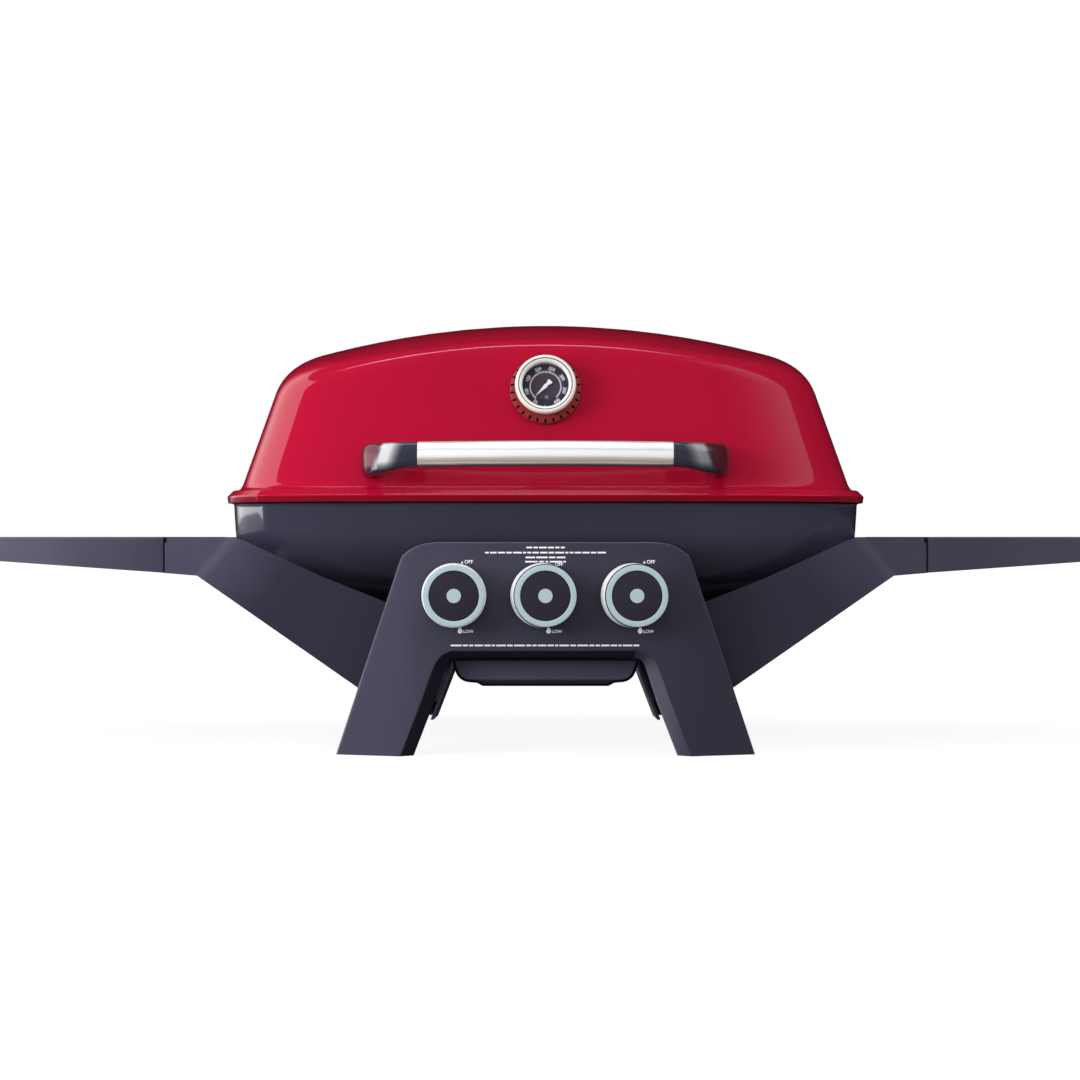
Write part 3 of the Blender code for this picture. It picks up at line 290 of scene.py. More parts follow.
def bracket_finish(side):
    """Navy gloss beside the bar, with a painted pale highlight round the bend and a painted reflection of the red hood
    on the outer end.
    """
    made = Finish(f"bracket_painted_highlight_{'left' if side < 0 else 'right'}", (0.045, 0.047, 0.075), 0.18, metallic=0.25, coat=0.8, coat_roughness=0.08, coat_ior=1.8).vary(60.0, 0.08)
    place = made.new("ShaderNodeSeparateXYZ")
    made.link(made.where, place.inputs[0])
    out = made.math("ADD", made.math("MULTIPLY", place.outputs[0], side), made.math("MULTIPLY", place.outputs[2], 0.35))
    peak = 0.1555 + 0.35 * 0.2890 if side < 0 else 0.1515 + 0.35 * 0.2890
    painted_highlight_band = made.math("MULTIPLY", made.spread(out, 0.0, 1.0, peak - 0.0160, peak - 0.0030), made.spread(out, 1.0, 0.0, peak + 0.0050, peak + 0.0100))
    painted_highlight_band = made.math("MULTIPLY", painted_highlight_band, made.spread(place.outputs[2], 0.0, 1.0, 0.2745, 0.2840))
    painted_highlight_band = made.math("MULTIPLY", painted_highlight_band, made.spread(place.outputs[2], 1.0, 0.0, 0.3010, 0.3050))
    painted_highlight_band = made.math("MULTIPLY", made.math("MULTIPLY", painted_highlight_band, painted_highlight_band), 0.95 if side < 0 else 0.38)
    # painted highlight: a pale band round the bend, stronger on the left bracket
    made.darken(painted_highlight_band, (0.86, 0.86, 0.88))
    # painted reflection: the outer end is painted dark red as if mirroring the hood, and its coat is thinned there
    past = made.spread(out, 0.0, 1.0, peak + 0.0065, peak + 0.0110)
    made.darken(made.math("MULTIPLY", past, made.spread(made.noise(50.0, 2.0), 0.80, 0.95)), (0.115, 0.012, 0.022))
    made.link(made.spread(past, 0.8, 0.03, 0.0, 1.0), made.shader.inputs["Coat Weight"])
    made.rough(120.0, 0.03)
    return made.relief(1200.0, 0.000004, coat=True).mat


bracket_painted_highlight = {-1: bracket_finish(-1), 1: bracket_finish(1)}
bar_steel = Finish("handle_steel", (0.92, 0.91, 0.89), 0.26, metallic=0.06, anisotropic=0.4).rough(1.0, 0.05, (3.0, 1400.0, 1400.0)).relief(1.0, 0.00001, (4.0, 2200.0, 2200.0), strength=0.4)
bar_split = bar_steel.new("ShaderNodeSeparateXYZ")
bar_steel.link(bar_steel.where, bar_split.inputs[0])
# painted reflection: the bar's colour runs through light and dark bands by height, standing in for the studio mirrored
# in the steel
bar_rise = bar_steel.math("ADD", bar_split.outputs[2], bar_steel.math("MULTIPLY", bar_steel.math("MULTIPLY", bar_split.outputs[0], bar_split.outputs[0]), 0.049))
bar_rise = bar_steel.math("ADD", bar_rise, bar_steel.spread(bar_steel.noise(1.0, 3.0, (5.0, 300.0, 300.0)), -0.0007, 0.0007))
bar_painted_reflection_ramp = bar_steel.new("ShaderNodeValToRGB")
bar_steel.link(bar_steel.spread(bar_rise, 0.0, 1.0, 0.2788, 0.3044), bar_painted_reflection_ramp.inputs[0])
for position, painted_reflection_shade in (
    (0.0, (0.05, 0.045, 0.05)), (0.10, (0.16, 0.14, 0.14)), (0.17, (0.75, 0.70, 0.66)), (0.22, (0.42, 0.38, 0.36)), (0.33, (0.56, 0.51, 0.48)),
    (0.40, (0.86, 0.84, 0.81)), (0.50, (1.0, 1.0, 0.99)), (0.62, (0.98, 0.98, 0.97)), (0.68, (0.72, 0.69, 0.76)), (0.74, (0.98, 0.97, 0.95)),
    (0.90, (0.98, 0.95, 0.90)), (0.955, (0.55, 0.50, 0.46)), (1.0, (0.36, 0.32, 0.30)),
):
    stop = bar_painted_reflection_ramp.color_ramp.elements.new(position) if 0.0 < position < 1.0 else bar_painted_reflection_ramp.color_ramp.elements[0 if position == 0.0 else -1]
    stop.color = (*painted_reflection_shade, 1.0)
bar_steel.link(bar_painted_reflection_ramp.outputs["Color"], bar_steel.shader.inputs["Base Color"])
bar_steel = bar_steel.mat
bezel_metal = Finish("bezel_polish", (0.93, 0.90, 0.84), 0.16, metallic=0.10).vary(40.0, 0.02).rough(90.0, 0.03).relief(600.0, 0.000004).mat
bezel_inner = Finish("bezel_inner_white", (0.93, 0.93, 0.92), 0.30, metallic=0.15).vary(60.0, 0.015).rough(90.0, 0.04).mat
# painted shade: a near-black colour in the bezel's small groove
bezel_groove_painted_shade = Finish("bezel_groove", (0.045, 0.05, 0.035), 0.6, specular=0.1).vary(90.0, 0.2).mat
ring_face = Finish("knob_ring_face", srgb(172, 190, 196), 0.42, metallic=0.15).mat
# painted reflection: the chrome skirt is a white matte paint, standing in for the bright crescent it mirrors
skirt_painted_reflection = Finish("knob_skirt_chrome", (1.0, 1.0, 1.0), 0.30, metallic=0.0, specular=0.7).vary(60.0, 0.02).rough(150.0, 0.03).mat
disc_dark = Finish("knob_face_spun", srgb(48, 43, 55), 0.40, metallic=0.0, specular=0.5)
spun = disc_dark.radial(2600.0)
disc_dark = disc_dark.vary(0, 0.22, fac=spun).rough(0, 0.10, fac=spun).relief(0, 0.000012, fac=spun).mat
ring_spun = Finish("knob_ring_spun", srgb(180, 201, 208), 0.40, metallic=0.05)
ring_noise = ring_spun.radial(3200.0)
ring_spun = ring_spun.vary(0, 0.035, fac=ring_noise).rough(0, 0.06, fac=ring_noise).relief(0, 0.000006, fac=ring_noise).mat
dial_paint = Finish("dial_paint", srgb(52, 54, 70), 0.55, specular=0.3).vary(300.0, 0.10).relief(2500.0, 0.000006).mat
dial_middle = Finish("dial_middle", srgb(74, 62, 78), 0.45, specular=0.4)
dial_noise = dial_middle.radial(2200.0)
dial_middle = dial_middle.vary(0, 0.18, fac=dial_noise).rough(0, 0.08, fac=dial_noise).mat
print_white = Finish("printed_white", (0.90, 0.90, 0.92), 0.50, specular=0.3).vary(800.0, 0.04).rough(900.0, 0.05).mat
print_grey = Finish("printed_grey", srgb(225, 216, 228), 0.55, specular=0.3).vary(800.0, 0.05).mat
needle_white = Finish("needle_white", (0.95, 0.95, 0.95), 0.35).vary(500.0, 0.02).rough(700.0, 0.05).mat
iron = Finish("enamelled_iron", (0.020, 0.020, 0.021), 0.52, specular=0.5).vary(60.0, 0.25).rough(220.0, 0.10).relief(420.0, 0.00012, strength=0.8).relief(1900.0, 0.00004, strength=0.6).mat
burner_steel = Finish("burner_steel", (0.52, 0.50, 0.47), 0.36, metallic=1.0, anisotropic=0.3).vary(18.0, 0.14).rough(40.0, 0.08).relief(1.0, 0.000012, (6.0, 1500.0, 1500.0), strength=0.6).mat
pin_steel = Finish("bright_steel", (0.50, 0.50, 0.51), 0.26, metallic=1.0).vary(90.0, 0.06).rough(160.0, 0.05).relief(1400.0, 0.000008).mat
brass = Finish("machined_brass", (0.60, 0.41, 0.16), 0.30, metallic=1.0).vary(70.0, 0.10).rough(150.0, 0.06).relief(1300.0, 0.00001).mat
rubber = Finish("foot_rubber", (0.014, 0.014, 0.016), 0.78, specular=0.3).vary(90.0, 0.25).rough(300.0, 0.08).relief(1800.0, 0.00005).mat
# painted shadow: a near-black material laid on faces where shade falls in gaps and recesses
painted_shadow_dark = Finish("painted_shadow_gap", (0.006, 0.006, 0.009), 0.70, specular=0.2).vary(90.0, 0.2).relief(1500.0, 0.00002).mat

glass = Finish("gauge_glass", (1.0, 1.0, 1.0), 0.02, ior=1.45, specular=0.5)
glass.put("Transmission Weight", 1.0)
glass.put("Alpha", 0.25)
glass.rough(60.0, 0.008)
glass = glass.mat

SLOT_FINISH = {
    "hood_enamel": red_enamel, "bowl_enamel": bowl_enamel, "charcoal_moulding": charcoal, "black_gloss": gloss_black,
    "bar_steel": bar_steel, "bezel_chrome": bezel_metal, "collar_red_brown": collar_red, "knob_ring_metal": skirt_painted_reflection,
    "knob_face": disc_dark, "dial_face": dial_paint, "needle_white": needle_white, "gauge_glass": glass,
    "grate_iron": iron, "burner_steel": burner_steel, "brass": brass, "foot_rubber": rubber, "pin_steel": pin_steel,
}
for node_name, node_object in NODES.items():
    node_object.data.materials.clear()
    node_object.data.materials.append(SLOT_FINISH[SLOT_OF[node_name]])


# ---------------------------------------------------------------- mesh helpers
def shade(mesh, angle=30.0):
    mesh.shade_smooth()
    mesh.set_sharp_from_angle(angle=math.radians(angle))


def add(name, mesh, mats, angle=30.0, tool=False):
    obj = bpy.data.objects.new(name, mesh)
    if tool:
        TOOLS.objects.link(obj)
        obj.hide_render = True
        obj.hide_viewport = False
        obj.display_type = "WIRE"
        return obj
    LOOKS.objects.link(obj)
    for mat in mats if isinstance(mats, (list, tuple)) else (mats,):
        mesh.materials.append(mat)
    shade(mesh, angle)
    return obj


def stand_for(obj, *nodes, body=None, slot=None):
    if nodes:
        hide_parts(*nodes)
    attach(obj, body or BODY_OF[nodes[0]])
    return obj


def to_mesh(bm, name):
    bmesh.ops.recalc_face_normals(bm, faces=bm.faces)
    mesh = bpy.data.meshes.new(name)
    bm.to_mesh(mesh)
    bm.free()
    return mesh


def skin(name, rings, mats, start=True, end=True, angle=30.0, tool=False):
    """A loft through closed rings; "point" closes an end on its middle, True closes it flat."""
    bm = bmesh.new()
    rows = [[bm.verts.new(p) for p in ring] for ring in rings]
    n = len(rows[0])
    for a, b in zip(rows, rows[1:]):
        for i in range(n):
            j = (i + 1) % n
            bm.faces.new((a[i], a[j], b[j], b[i]))
    for row, how in ((rows[0][::-1], start), (rows[-1], end)):
        if how == "point":
            middle = bm.verts.new(sum((v.co for v in row), Vector()) / n)
            for i in range(n):
                bm.faces.new((row[i], row[(i + 1) % n], middle))
        elif how:
            bm.faces.new(row)
    return add(name, to_mesh(bm, name), mats, angle, tool)


def spin(name, profile, mats, steps=96, pick=None, angle=30.0, tool=False):
    """A closed (radius, height) profile turned about local Z. pick(k) gives the material of segment k."""
    bm = bmesh.new()
    closed = not (profile[0][0] < 1e-9 and profile[-1][0] < 1e-9)
    rows = []
    for r, z in profile:
        if r < 1e-9:
            rows.append([bm.verts.new((0.0, 0.0, z))])
        else:
            rows.append([bm.verts.new((r * math.cos(2 * math.pi * k / steps), r * math.sin(2 * math.pi * k / steps), z)) for k in range(steps)])
    pairs = list(zip(rows, rows[1:] + ([rows[0]] if closed else [])))
    for number, (a, b) in enumerate(pairs):
        for k in range(steps):
            j = (k + 1) % steps
            if len(a) == 1 and len(b) == 1:
                continue
            if len(a) == 1:
                face = bm.faces.new((a[0], b[j], b[k]))
            elif len(b) == 1:
                face = bm.faces.new((a[k], a[j], b[0]))
            else:
                face = bm.faces.new((a[k], a[j], b[j], b[k]))
            face.material_index = pick(number) if pick else 0
    return add(name, to_mesh(bm, name), mats, angle, tool)


def box_tool(name, low, high):
    bm = bmesh.new()
    bmesh.ops.create_cube(bm, size=1.0)
    for v in bm.verts:
        v.co = Vector((low[i] + (v.co[i] + 0.5) * (high[i] - low[i]) for i in range(3)))
    return add(name, to_mesh(bm, name), None, tool=True)


def rod_tool(name, radius, start, end, sides=48):
    start, end = Vector(start), Vector(end)
    bm = bmesh.new()
    bmesh.ops.create_cone(bm, cap_ends=True, segments=sides, radius1=radius, radius2=radius, depth=(end - start).length)
    matrix = Matrix.Translation((start + end) / 2) @ (end - start).to_track_quat("Z", "Y").to_matrix().to_4x4()
    bm.transform(matrix)
    return add(name, to_mesh(bm, name), None, tool=True)


def boolean(obj, other, operation="DIFFERENCE"):
    mod = obj.modifiers.new(operation.lower(), "BOOLEAN")
    mod.operation = operation
    mod.solver = "MANIFOLD"
    mod.object = other
    return mod


def wall(obj, thickness):
    mod = obj.modifiers.new("wall", "SOLIDIFY")
    mod.thickness = thickness
    mod.offset = -1.0
    mod.use_even_offset = True
    mod.use_quality_normals = True
    return mod


def applied(obj, angle=30.0):
    """Bakes the modifiers into the mesh, so that the shaping tools can go."""
    bpy.context.view_layer.update()
    graph = bpy.context.evaluated_depsgraph_get()
    mesh = bpy.data.meshes.new_from_object(obj.evaluated_get(graph))
    obj.modifiers.clear()
    bm = bmesh.new()
    bm.from_mesh(mesh)
    bmesh.ops.remove_doubles(bm, verts=bm.verts, dist=0.000002)
    bmesh.ops.dissolve_degenerate(bm, edges=bm.edges, dist=0.000001)
    bm.to_mesh(mesh)
    bm.free()
    obj.data = mesh
    shade(mesh, angle)
    return obj


def soften(obj, width, segments=3, angle=28.0):
    mod = obj.modifiers.new("soft_edges", "BEVEL")
    mod.width = width
    mod.segments = segments
    mod.limit_method = "ANGLE"
    mod.angle_limit = math.radians(angle)
    mod.use_clamp_overlap = True
    mod.harden_normals = True
    return mod


def detailed(node, width, segments=2, mat=None, angle=28.0, reshape=None, name=None, flat=1.5):
    """The node's own solid with its flat faces made whole again and its edges rounded."""
    source = NODES[node].data
    bm = bmesh.new()
    bm.from_mesh(source)
    bmesh.ops.remove_doubles(bm, verts=bm.verts, dist=0.00001)
    bmesh.ops.dissolve_limit(bm, angle_limit=math.radians(flat), verts=bm.verts, edges=bm.edges)
    if reshape:
        reshape(bm)
    bmesh.ops.recalc_face_normals(bm, faces=bm.faces)
    mesh = bpy.data.meshes.new(name or node + "_finished")
    bm.to_mesh(mesh)
    bm.free()
    obj = add(name or node + "_finished", mesh, mat or SLOT_FINISH[SLOT_OF[node]])
    if width:
        soften(obj, width, segments, angle)
    return stand_for(obj, node)


def smooth_run(points, steps, closed=False):
    """Catmull-Rom through a list of equal-length tuples."""
    pts = [np.array(p, float) for p in points]
    out = []
    count = len(pts) - (0 if closed else 1)
    for k in range(count):
        p0 = pts[k - 1] if (k > 0 or closed) else 2 * pts[0] - pts[1]
        p1 = pts[k]
        p2 = pts[(k + 1) % len(pts)]
        p3 = pts[(k + 2) % len(pts)] if (k + 2 < len(pts) or closed) else 2 * pts[-1] - pts[-2]
        for s in range(steps):
            t = s / steps
            out.append(0.5 * (2 * p1 + (p2 - p0) * t + (2 * p0 - 5 * p1 + 4 * p2 - p3) * t * t + (3 * p1 - p0 - 3 * p2 + p3) * t ** 3))
    if not closed:
        out.append(pts[-1])
    return out


# ---------------------------------------------------------------- hood and bowl
POWER = 4.6
LIP_X, LIP_Y, LIP_Z0 = 0.3302, 0.2056, 0.2464
WALL_Z, WALL_X, WALL_Y = 0.2625, 0.3160, 0.1905
LEAN_X, LEAN_Y = 0.345, 0.230
ROOF_Z = 0.4370
SHEET = 0.0026


def powered(value, power):
    return math.copysign(abs(value) ** power, value)


def plan(a, b, t, power=POWER):
    return a * powered(math.cos(t), 2 / power), b * powered(math.sin(t), 2 / power)


def plan_angles(a, b, count):
    fine = np.linspace(0.0, math.pi / 2, 6001)
    pts = np.array([plan(a, b, t) for t in fine])
    step = np.linalg.norm(np.diff(pts, axis=0), axis=1)
    tangent = np.unwrap(np.arctan2(np.diff(pts[:, 1]), np.diff(pts[:, 0])))
    turn = np.abs(np.gradient(tangent))
    weight = step / step.sum() * 0.5 + turn / turn.sum() * 0.5
    along = np.concatenate([[0.0], np.cumsum(weight)])
    quarter = list(np.interp(np.linspace(0.0, along[-1], count // 4 + 1), along, fine))
    quarter[0], quarter[-1] = 0.0, math.pi / 2
    out = []
    for q in range(4):
        run = quarter[:-1] if q % 2 == 0 else [math.pi / 2 - t for t in quarter[1:]][::-1]
        out += [q * math.pi / 2 + t for t in run]
    return out


def wall_half(z):
    return WALL_X - LEAN_X * (z - WALL_Z), WALL_Y - LEAN_Y * (z - WALL_Z)


def roof(x, y):
    return ROOF_Z - 0.565 * x * x - 0.030 * (y / 0.156) ** 2


LIP_RUN = smooth_run([
    (0.940, 0.2464), (0.955, 0.2476), (0.985, 0.2504), (1.00, 0.2520), (0.985, 0.2530), (0.900, 0.2543), (0.780, 0.2561), (0.660, 0.2579),
    (0.600, 0.2587), (0.540, 0.2590), (0.400, 0.2593), (0.240, 0.2598), (0.110, 0.2610), (0.035, 0.2632), (0.0, 0.2662),
], 2)


def hood_columns(count):
    columns = []
    for t in plan_angles(WALL_X, WALL_Y, count):
        column = []
        for f, z in LIP_RUN:
            a, b = wall_half(min(z, 0.2680)) if z > WALL_Z else (WALL_X, WALL_Y)
            x, y = plan(a + f * (LIP_X - WALL_X), b + f * (LIP_Y - WALL_Y), t)
            column.append(Vector((x, y, z)))
        z = 0.40
        for _ in range(60):
            x, y = plan(*wall_half(z), t)
            z = 0.5 * z + 0.5 * roof(x, y)
        crest = Vector((x, y, z))
        side = abs(powered(math.cos(t), 2 / POWER)) ** 3
        down, inward = 0.0115 + 0.0165 * side, 0.0135 + 0.0225 * side
        foot = column[-1]
        zs = crest.z - down
        start = Vector((*plan(*wall_half(zs), t), zs))
        for k in range(1, 9):
            column.append(foot.lerp(start, k / 9))
        flat = Vector((crest.x, crest.y, 0.0))
        shrink = 1.0 - inward / flat.length
        ex, ey = crest.x * shrink, crest.y * shrink
        end = Vector((ex, ey, roof(ex, ey)))
        for k in range(13):
            f = k / 12
            column.append(start.lerp(crest, f).lerp(crest.lerp(end, f), f))
        for f in (0.93, 0.84, 0.74, 0.63, 0.51, 0.38, 0.25, 0.12):
            column.append(Vector((ex * f, ey * f, roof(ex * f, ey * f))))
        columns.append(column)
    return columns


def mark_inside(obj, index, test):
    for poly in obj.data.polygons:
        if test(poly):
            poly.material_index = index


hood = skin("hood_shell", [list(r) for r in zip(*hood_columns(200))], [red_enamel, dark_red, red_lip_painted_shade], start=False, end="point", angle=50.0)
# the lip's lower half takes the darker enamel: painted shade
for poly in hood.data.polygons:
    if poly.center.z < 0.2518:
        poly.material_index = 2
wall(hood, SHEET).material_offset = 1   # the inside of the shell takes the duller enamel
TILT = math.atan(LEAN_Y)
GAUGE_OUT = Vector((0.0, -math.cos(TILT), math.sin(TILT)))
GAUGE_AT = Vector((0.0, -wall_half(0.3580)[1], 0.3580))
boolean(hood, rod_tool("gauge_hole", 0.0044, GAUGE_AT - GAUGE_OUT * 0.02, GAUGE_AT + GAUGE_OUT * 0.02, 32))
applied(hood, 50.0)
stand_for(hood, "hood")

RIM_X, RIM_Y, RIM_Z = 0.3272, 0.2036, 0.2460
bowl_run = [(0.3246, 0.2006, RIM_Z), (0.3246, 0.2006, RIM_Z - 0.0006), (0.3240, 0.2001, RIM_Z - 0.0012)]
bowl_run += [tuple(p) for p in smooth_run([
    (0.3236, 0.1998, RIM_Z - 0.0018), (0.3228, 0.1990, 0.2290), (0.3208, 0.1970, 0.2060), (0.3150, 0.1905, 0.1800), (0.3030, 0.1800, 0.1620),
    (0.2820, 0.1620, 0.1485), (0.2450, 0.1330, 0.1395), (0.1600, 0.0800, 0.1356),
], 5)]
bowl_angles = plan_angles(RIM_X, RIM_Y, 176)
bowl = skin("bowl_shell", [[Vector((*plan(a, b, t), z)) for t in bowl_angles] for a, b, z in bowl_run][::-1], [bowl_enamel, painted_shadow_dark], start="point", end=False, angle=45.0)
# the rim under the hood lip takes the near-black painted shadow
for poly in bowl.data.polygons:
    if poly.center.z > 0.2449:
        poly.material_index = 1
wall(bowl, SHEET)
boolean(bowl, rod_tool("grease_hole", 0.014, (0, 0, 0.12), (0, 0, 0.15)))
KNOB_X, KNOB_Z, KNOB_FACE_Y = (-0.0870, 0.0, 0.0870), 0.1554, -0.2750
for k, x in enumerate(KNOB_X):
    boolean(bowl, rod_tool(f"burner_hole_{k}", 0.0105, (x, -0.24, KNOB_Z), (x, -0.10, KNOB_Z + 0.004)))
applied(bowl, 45.0)
stand_for(bowl, "bowl")

# ---------------------------------------------------------------- leg frames
FRAME_Y, FRAME_BACK, SWEEP_X, SWEEP = 0.2500, 0.2055, 0.128, 0.305
PANEL_TOP, ARCH_TOP, CHAMFER, CASTING = 0.2067, 0.1029, 0.0125, 0.0032


def frame_columns():
    foot = -0.0020
    lower = [((-0.2037 + 0.0637 * (z / 0.1893), z), (-0.1409 + 0.0214 * (z / 0.0553), z), CHAMFER) for z in (foot, 0.0180, 0.0370, 0.0553)]
    corner = [
        ((-0.1745, 0.0875), (-0.1132, 0.0736), 0.0122), ((-0.1620, 0.1245), (-0.1070, 0.0891), 0.0112),
        ((-0.1510, 0.1565), (-0.1008, 0.0975), 0.0098), ((-0.1399, 0.1893), (-0.0945, 0.1012), 0.0088),
        ((-0.1345, 0.1962), (-0.0883, ARCH_TOP), 0.0083), ((-0.1262, 0.2018), (-0.0780, ARCH_TOP), 0.0083),
        ((-0.1156, 0.2053), (-0.0660, ARCH_TOP), 0.0083), ((-0.1040, PANEL_TOP), (-0.0540, ARCH_TOP), 0.0083),
        ((-0.0520, PANEL_TOP), (-0.0270, ARCH_TOP), 0.0083),
    ]
    left = lower + corner
    flat = [(*o, *i, c) for o, i, c in left]
    fine = [tuple(p) for p in smooth_run(flat[3:-1], 4)]
    fine = [(min(p[0], 0), min(p[1], PANEL_TOP), p[2], min(p[3], ARCH_TOP), p[4]) for p in fine]
    rows = flat[:3] + fine + [flat[-1]]
    left = [((p[0], p[1]), (p[2], p[3]), p[4]) for p in rows]
    return left + [((0.0, PANEL_TOP), (0.0, ARCH_TOP), 0.0083)] + [((-o[0], o[1]), (-i[0], i[1]), c) for o, i, c in reversed(left)]


def edge_normals(points):
    out = []
    for k in range(len(points)):
        a, b = points[max(k - 1, 0)], points[min(k + 1, len(points) - 1)]
        d = Vector((b[0] - a[0], b[1] - a[1])).normalized()
        out.append(Vector((d[1], -d[0])))
    for k in (0, -1):
        out[k] = Vector((math.copysign(1.0 / max(abs(out[k][0]), 0.5), out[k][0]), 0.0))
    return out


def leg_frame(name, node, facing, inner_edge):
    columns = frame_columns()
    outer, inner = [c[0] for c in columns], [c[1] for c in columns]
    n_out, n_in = edge_normals(outer), edge_normals(inner)
    bm = bmesh.new()
    rows = []
    for k, (o, i, c) in enumerate(columns):
        o, i = Vector(o), Vector(i)

        def place(p, depth):
            bend = SWEEP * max(0.0, abs(p[0]) - SWEEP_X)
            # the bend into the swept leg is a soft one
            near = abs(p[0]) - SWEEP_X
            if abs(near) < 0.010:
                bend = SWEEP * (near + 0.010) ** 2 / 0.040
            return bm.verts.new((p[0], facing * (-FRAME_Y + bend + depth), p[1]))

        row = [bm.verts.new((o[0], -facing * FRAME_BACK, o[1])), bm.verts.new((o[0], -facing * (FRAME_BACK + 0.010), o[1]))]
        radius = 0.0024
        for s in range(5):
            a = s / 4 * math.pi / 2
            row.append(place(o + n_out[k] * radius * (1 - math.cos(a)), radius * (1 - math.sin(a))))
        start = o + n_out[k] * radius
        for f in (0.06, 0.16, 0.28, 0.40, 0.52, 0.64, 0.76, 0.88, 0.965):
            row.append(place(start.lerp(i, f), 0.0))
        # a small round leads into the chamfer
        row.append(place(i + n_in[k] * 0.0003, 0.00008))
        row.append(place(i + n_in[k] * 0.0012, 0.0009))
        row.append(place(i + n_in[k] * (c - 0.0012), c * 0.96 - 0.0013))
        row.append(place(i + n_in[k] * (c - 0.0002), c * 0.96 - 0.0002))
        row.append(place(i + n_in[k] * c, c * 0.96 + 0.0010))
        last = i + n_in[k] * (c - 0.0022)
        row.append(bm.verts.new((last[0], -facing * inner_edge, last[1])))
        rows.append(row)
    for number, (a, b) in enumerate(zip(rows, rows[1:])):
        for j in range(len(a) - 1):
            face = bm.faces.new((a[j], a[j + 1], b[j + 1], b[j]))
            middle_x = (a[j].co.x + b[j].co.x) / 2
            # the front frame's rounded outer edge takes the painted highlight
            if j == 3 and facing > 0:
                face.material_index = 3
            # the inner chamfers take painted shade on the left leg and across the arch, and the lighter painted-lit
            # copy on the right leg
            if j >= len(a) - 5 and facing > 0:
                face.material_index = 1 if middle_x < 0.085 else 2
    bmesh.ops.recalc_face_normals(bm, faces=bm.faces)
    if sum(f.normal.y * f.calc_area() for f in bm.faces) * -facing < 0:
        bmesh.ops.reverse_faces(bm, faces=bm.faces)
    mesh = bpy.data.meshes.new(name)
    bm.to_mesh(mesh)
    bm.free()
    obj = add(name, mesh, [charcoal_frame, chamfer_painted_shade, chamfer_painted_lit_side, edge_painted_highlight], 40.0)
    wall(obj, CASTING)
    y = -facing * 0.22
    boolean(obj, box_tool("level_" + name, (-0.3, y - 0.08, -0.02), (0.3, y + 0.08, 0.0004)))
    if facing > 0:
        for k, x in enumerate(KNOB_X):
            boolean(obj, rod_tool(f"stem_hole_{k}", 0.0066, (x, -0.27, KNOB_Z), (x, -0.235, KNOB_Z), 32))
    else:
        boolean(obj, rod_tool("inlet_hole", 0.0072, (0.1120, 0.23, 0.1230), (0.1120, 0.27, 0.1230), 32))
    applied(obj, 40.0)
    return stand_for(obj, node)


leg_frame("front_leg_frame", "front_frame", 1.0, 0.2055)
leg_frame("rear_leg_frame", "rear_frame", -1.0, 0.1720)
for tag in ("front_left", "front_right", "rear_left", "rear_right"):
    detailed(f"foot_{tag}", 0.0010, 2)


# ---------------------------------------------------------------- arms and side tables
def bent_arm(side):
    """The sloping part of the arm leans in a little from the crease at its bend."""
    def reshape(bm):
        top, low = Vector((0.3106, 0.2116)), Vector((0.3431, 0.1734))
        along = (low - top).normalized()
        across = Vector((along.y, -along.x))
        if across.x > 0:
            across = -across
        for offset in (0.0, 0.0035):
            bmesh.ops.bisect_plane(bm, geom=bm.verts[:] + bm.edges[:] + bm.faces[:], dist=0.00001,
                                   plane_co=(side * (top.x + across.x * offset), 0.0, top.y + across.y * offset), plane_no=(side * across.x, 0.0, across.y))
        for v in bm.verts:
            d = (Vector((abs(v.co.x), v.co.z)) - top).dot(across)
            if d > 0 and abs(v.co.y) > 0.15:
                v.co.y -= math.copysign(min(0.0030, 0.020 * max(0.0, d - 0.0015)), v.co.y)
    return reshape


for side, tag in ((-1, "left"), (1, "right")):
    detailed(f"arm_{tag}", 0.0011, 3, mat=charcoal_arm_painted_light[side], reshape=bent_arm(side))
    detailed(f"side_table_{tag}", 0.0012, 3, mat=table_painted_shading)
    detailed(f"bowl_hinge_{tag}", 0.0007, 2)
    detailed(f"hood_hinge_{tag}", 0.0007, 2)

# ---------------------------------------------------------------- handle
HANDLE_Y, HANDLE_Z, BAR_HALF = -0.2350, 0.2912, 0.1238


def section(centre, across, up, half_w, half_h, power=2.6, count=48):
    out = []
    for k in range(count):
        x, y = plan(half_w, half_h, 2 * math.pi * k / count, power)
        out.append(centre + across * x + up * y)
    return out


bar_rings = []
for k in range(49):
    x = -BAR_HALF + 2 * BAR_HALF * k / 48
    bow = 0.0050 * (1 - (x / BAR_HALF) ** 2)
    trim = 0.0008 if k in (0, 48) else (0.0002 if k in (1, 47) else 0.0)
    if k in (1, 47):
        x = math.copysign(BAR_HALF - 0.0008, x)
    bar_rings.append(section(Vector((x, HANDLE_Y - bow, HANDLE_Z + 0.15 * bow)), Vector((0, 1, 0)), Vector((0, 0, 1)), 0.0100 - trim, 0.0124 - trim))
stand_for(skin("handle_grip_bar", bar_rings, bar_steel), "handle_bar")

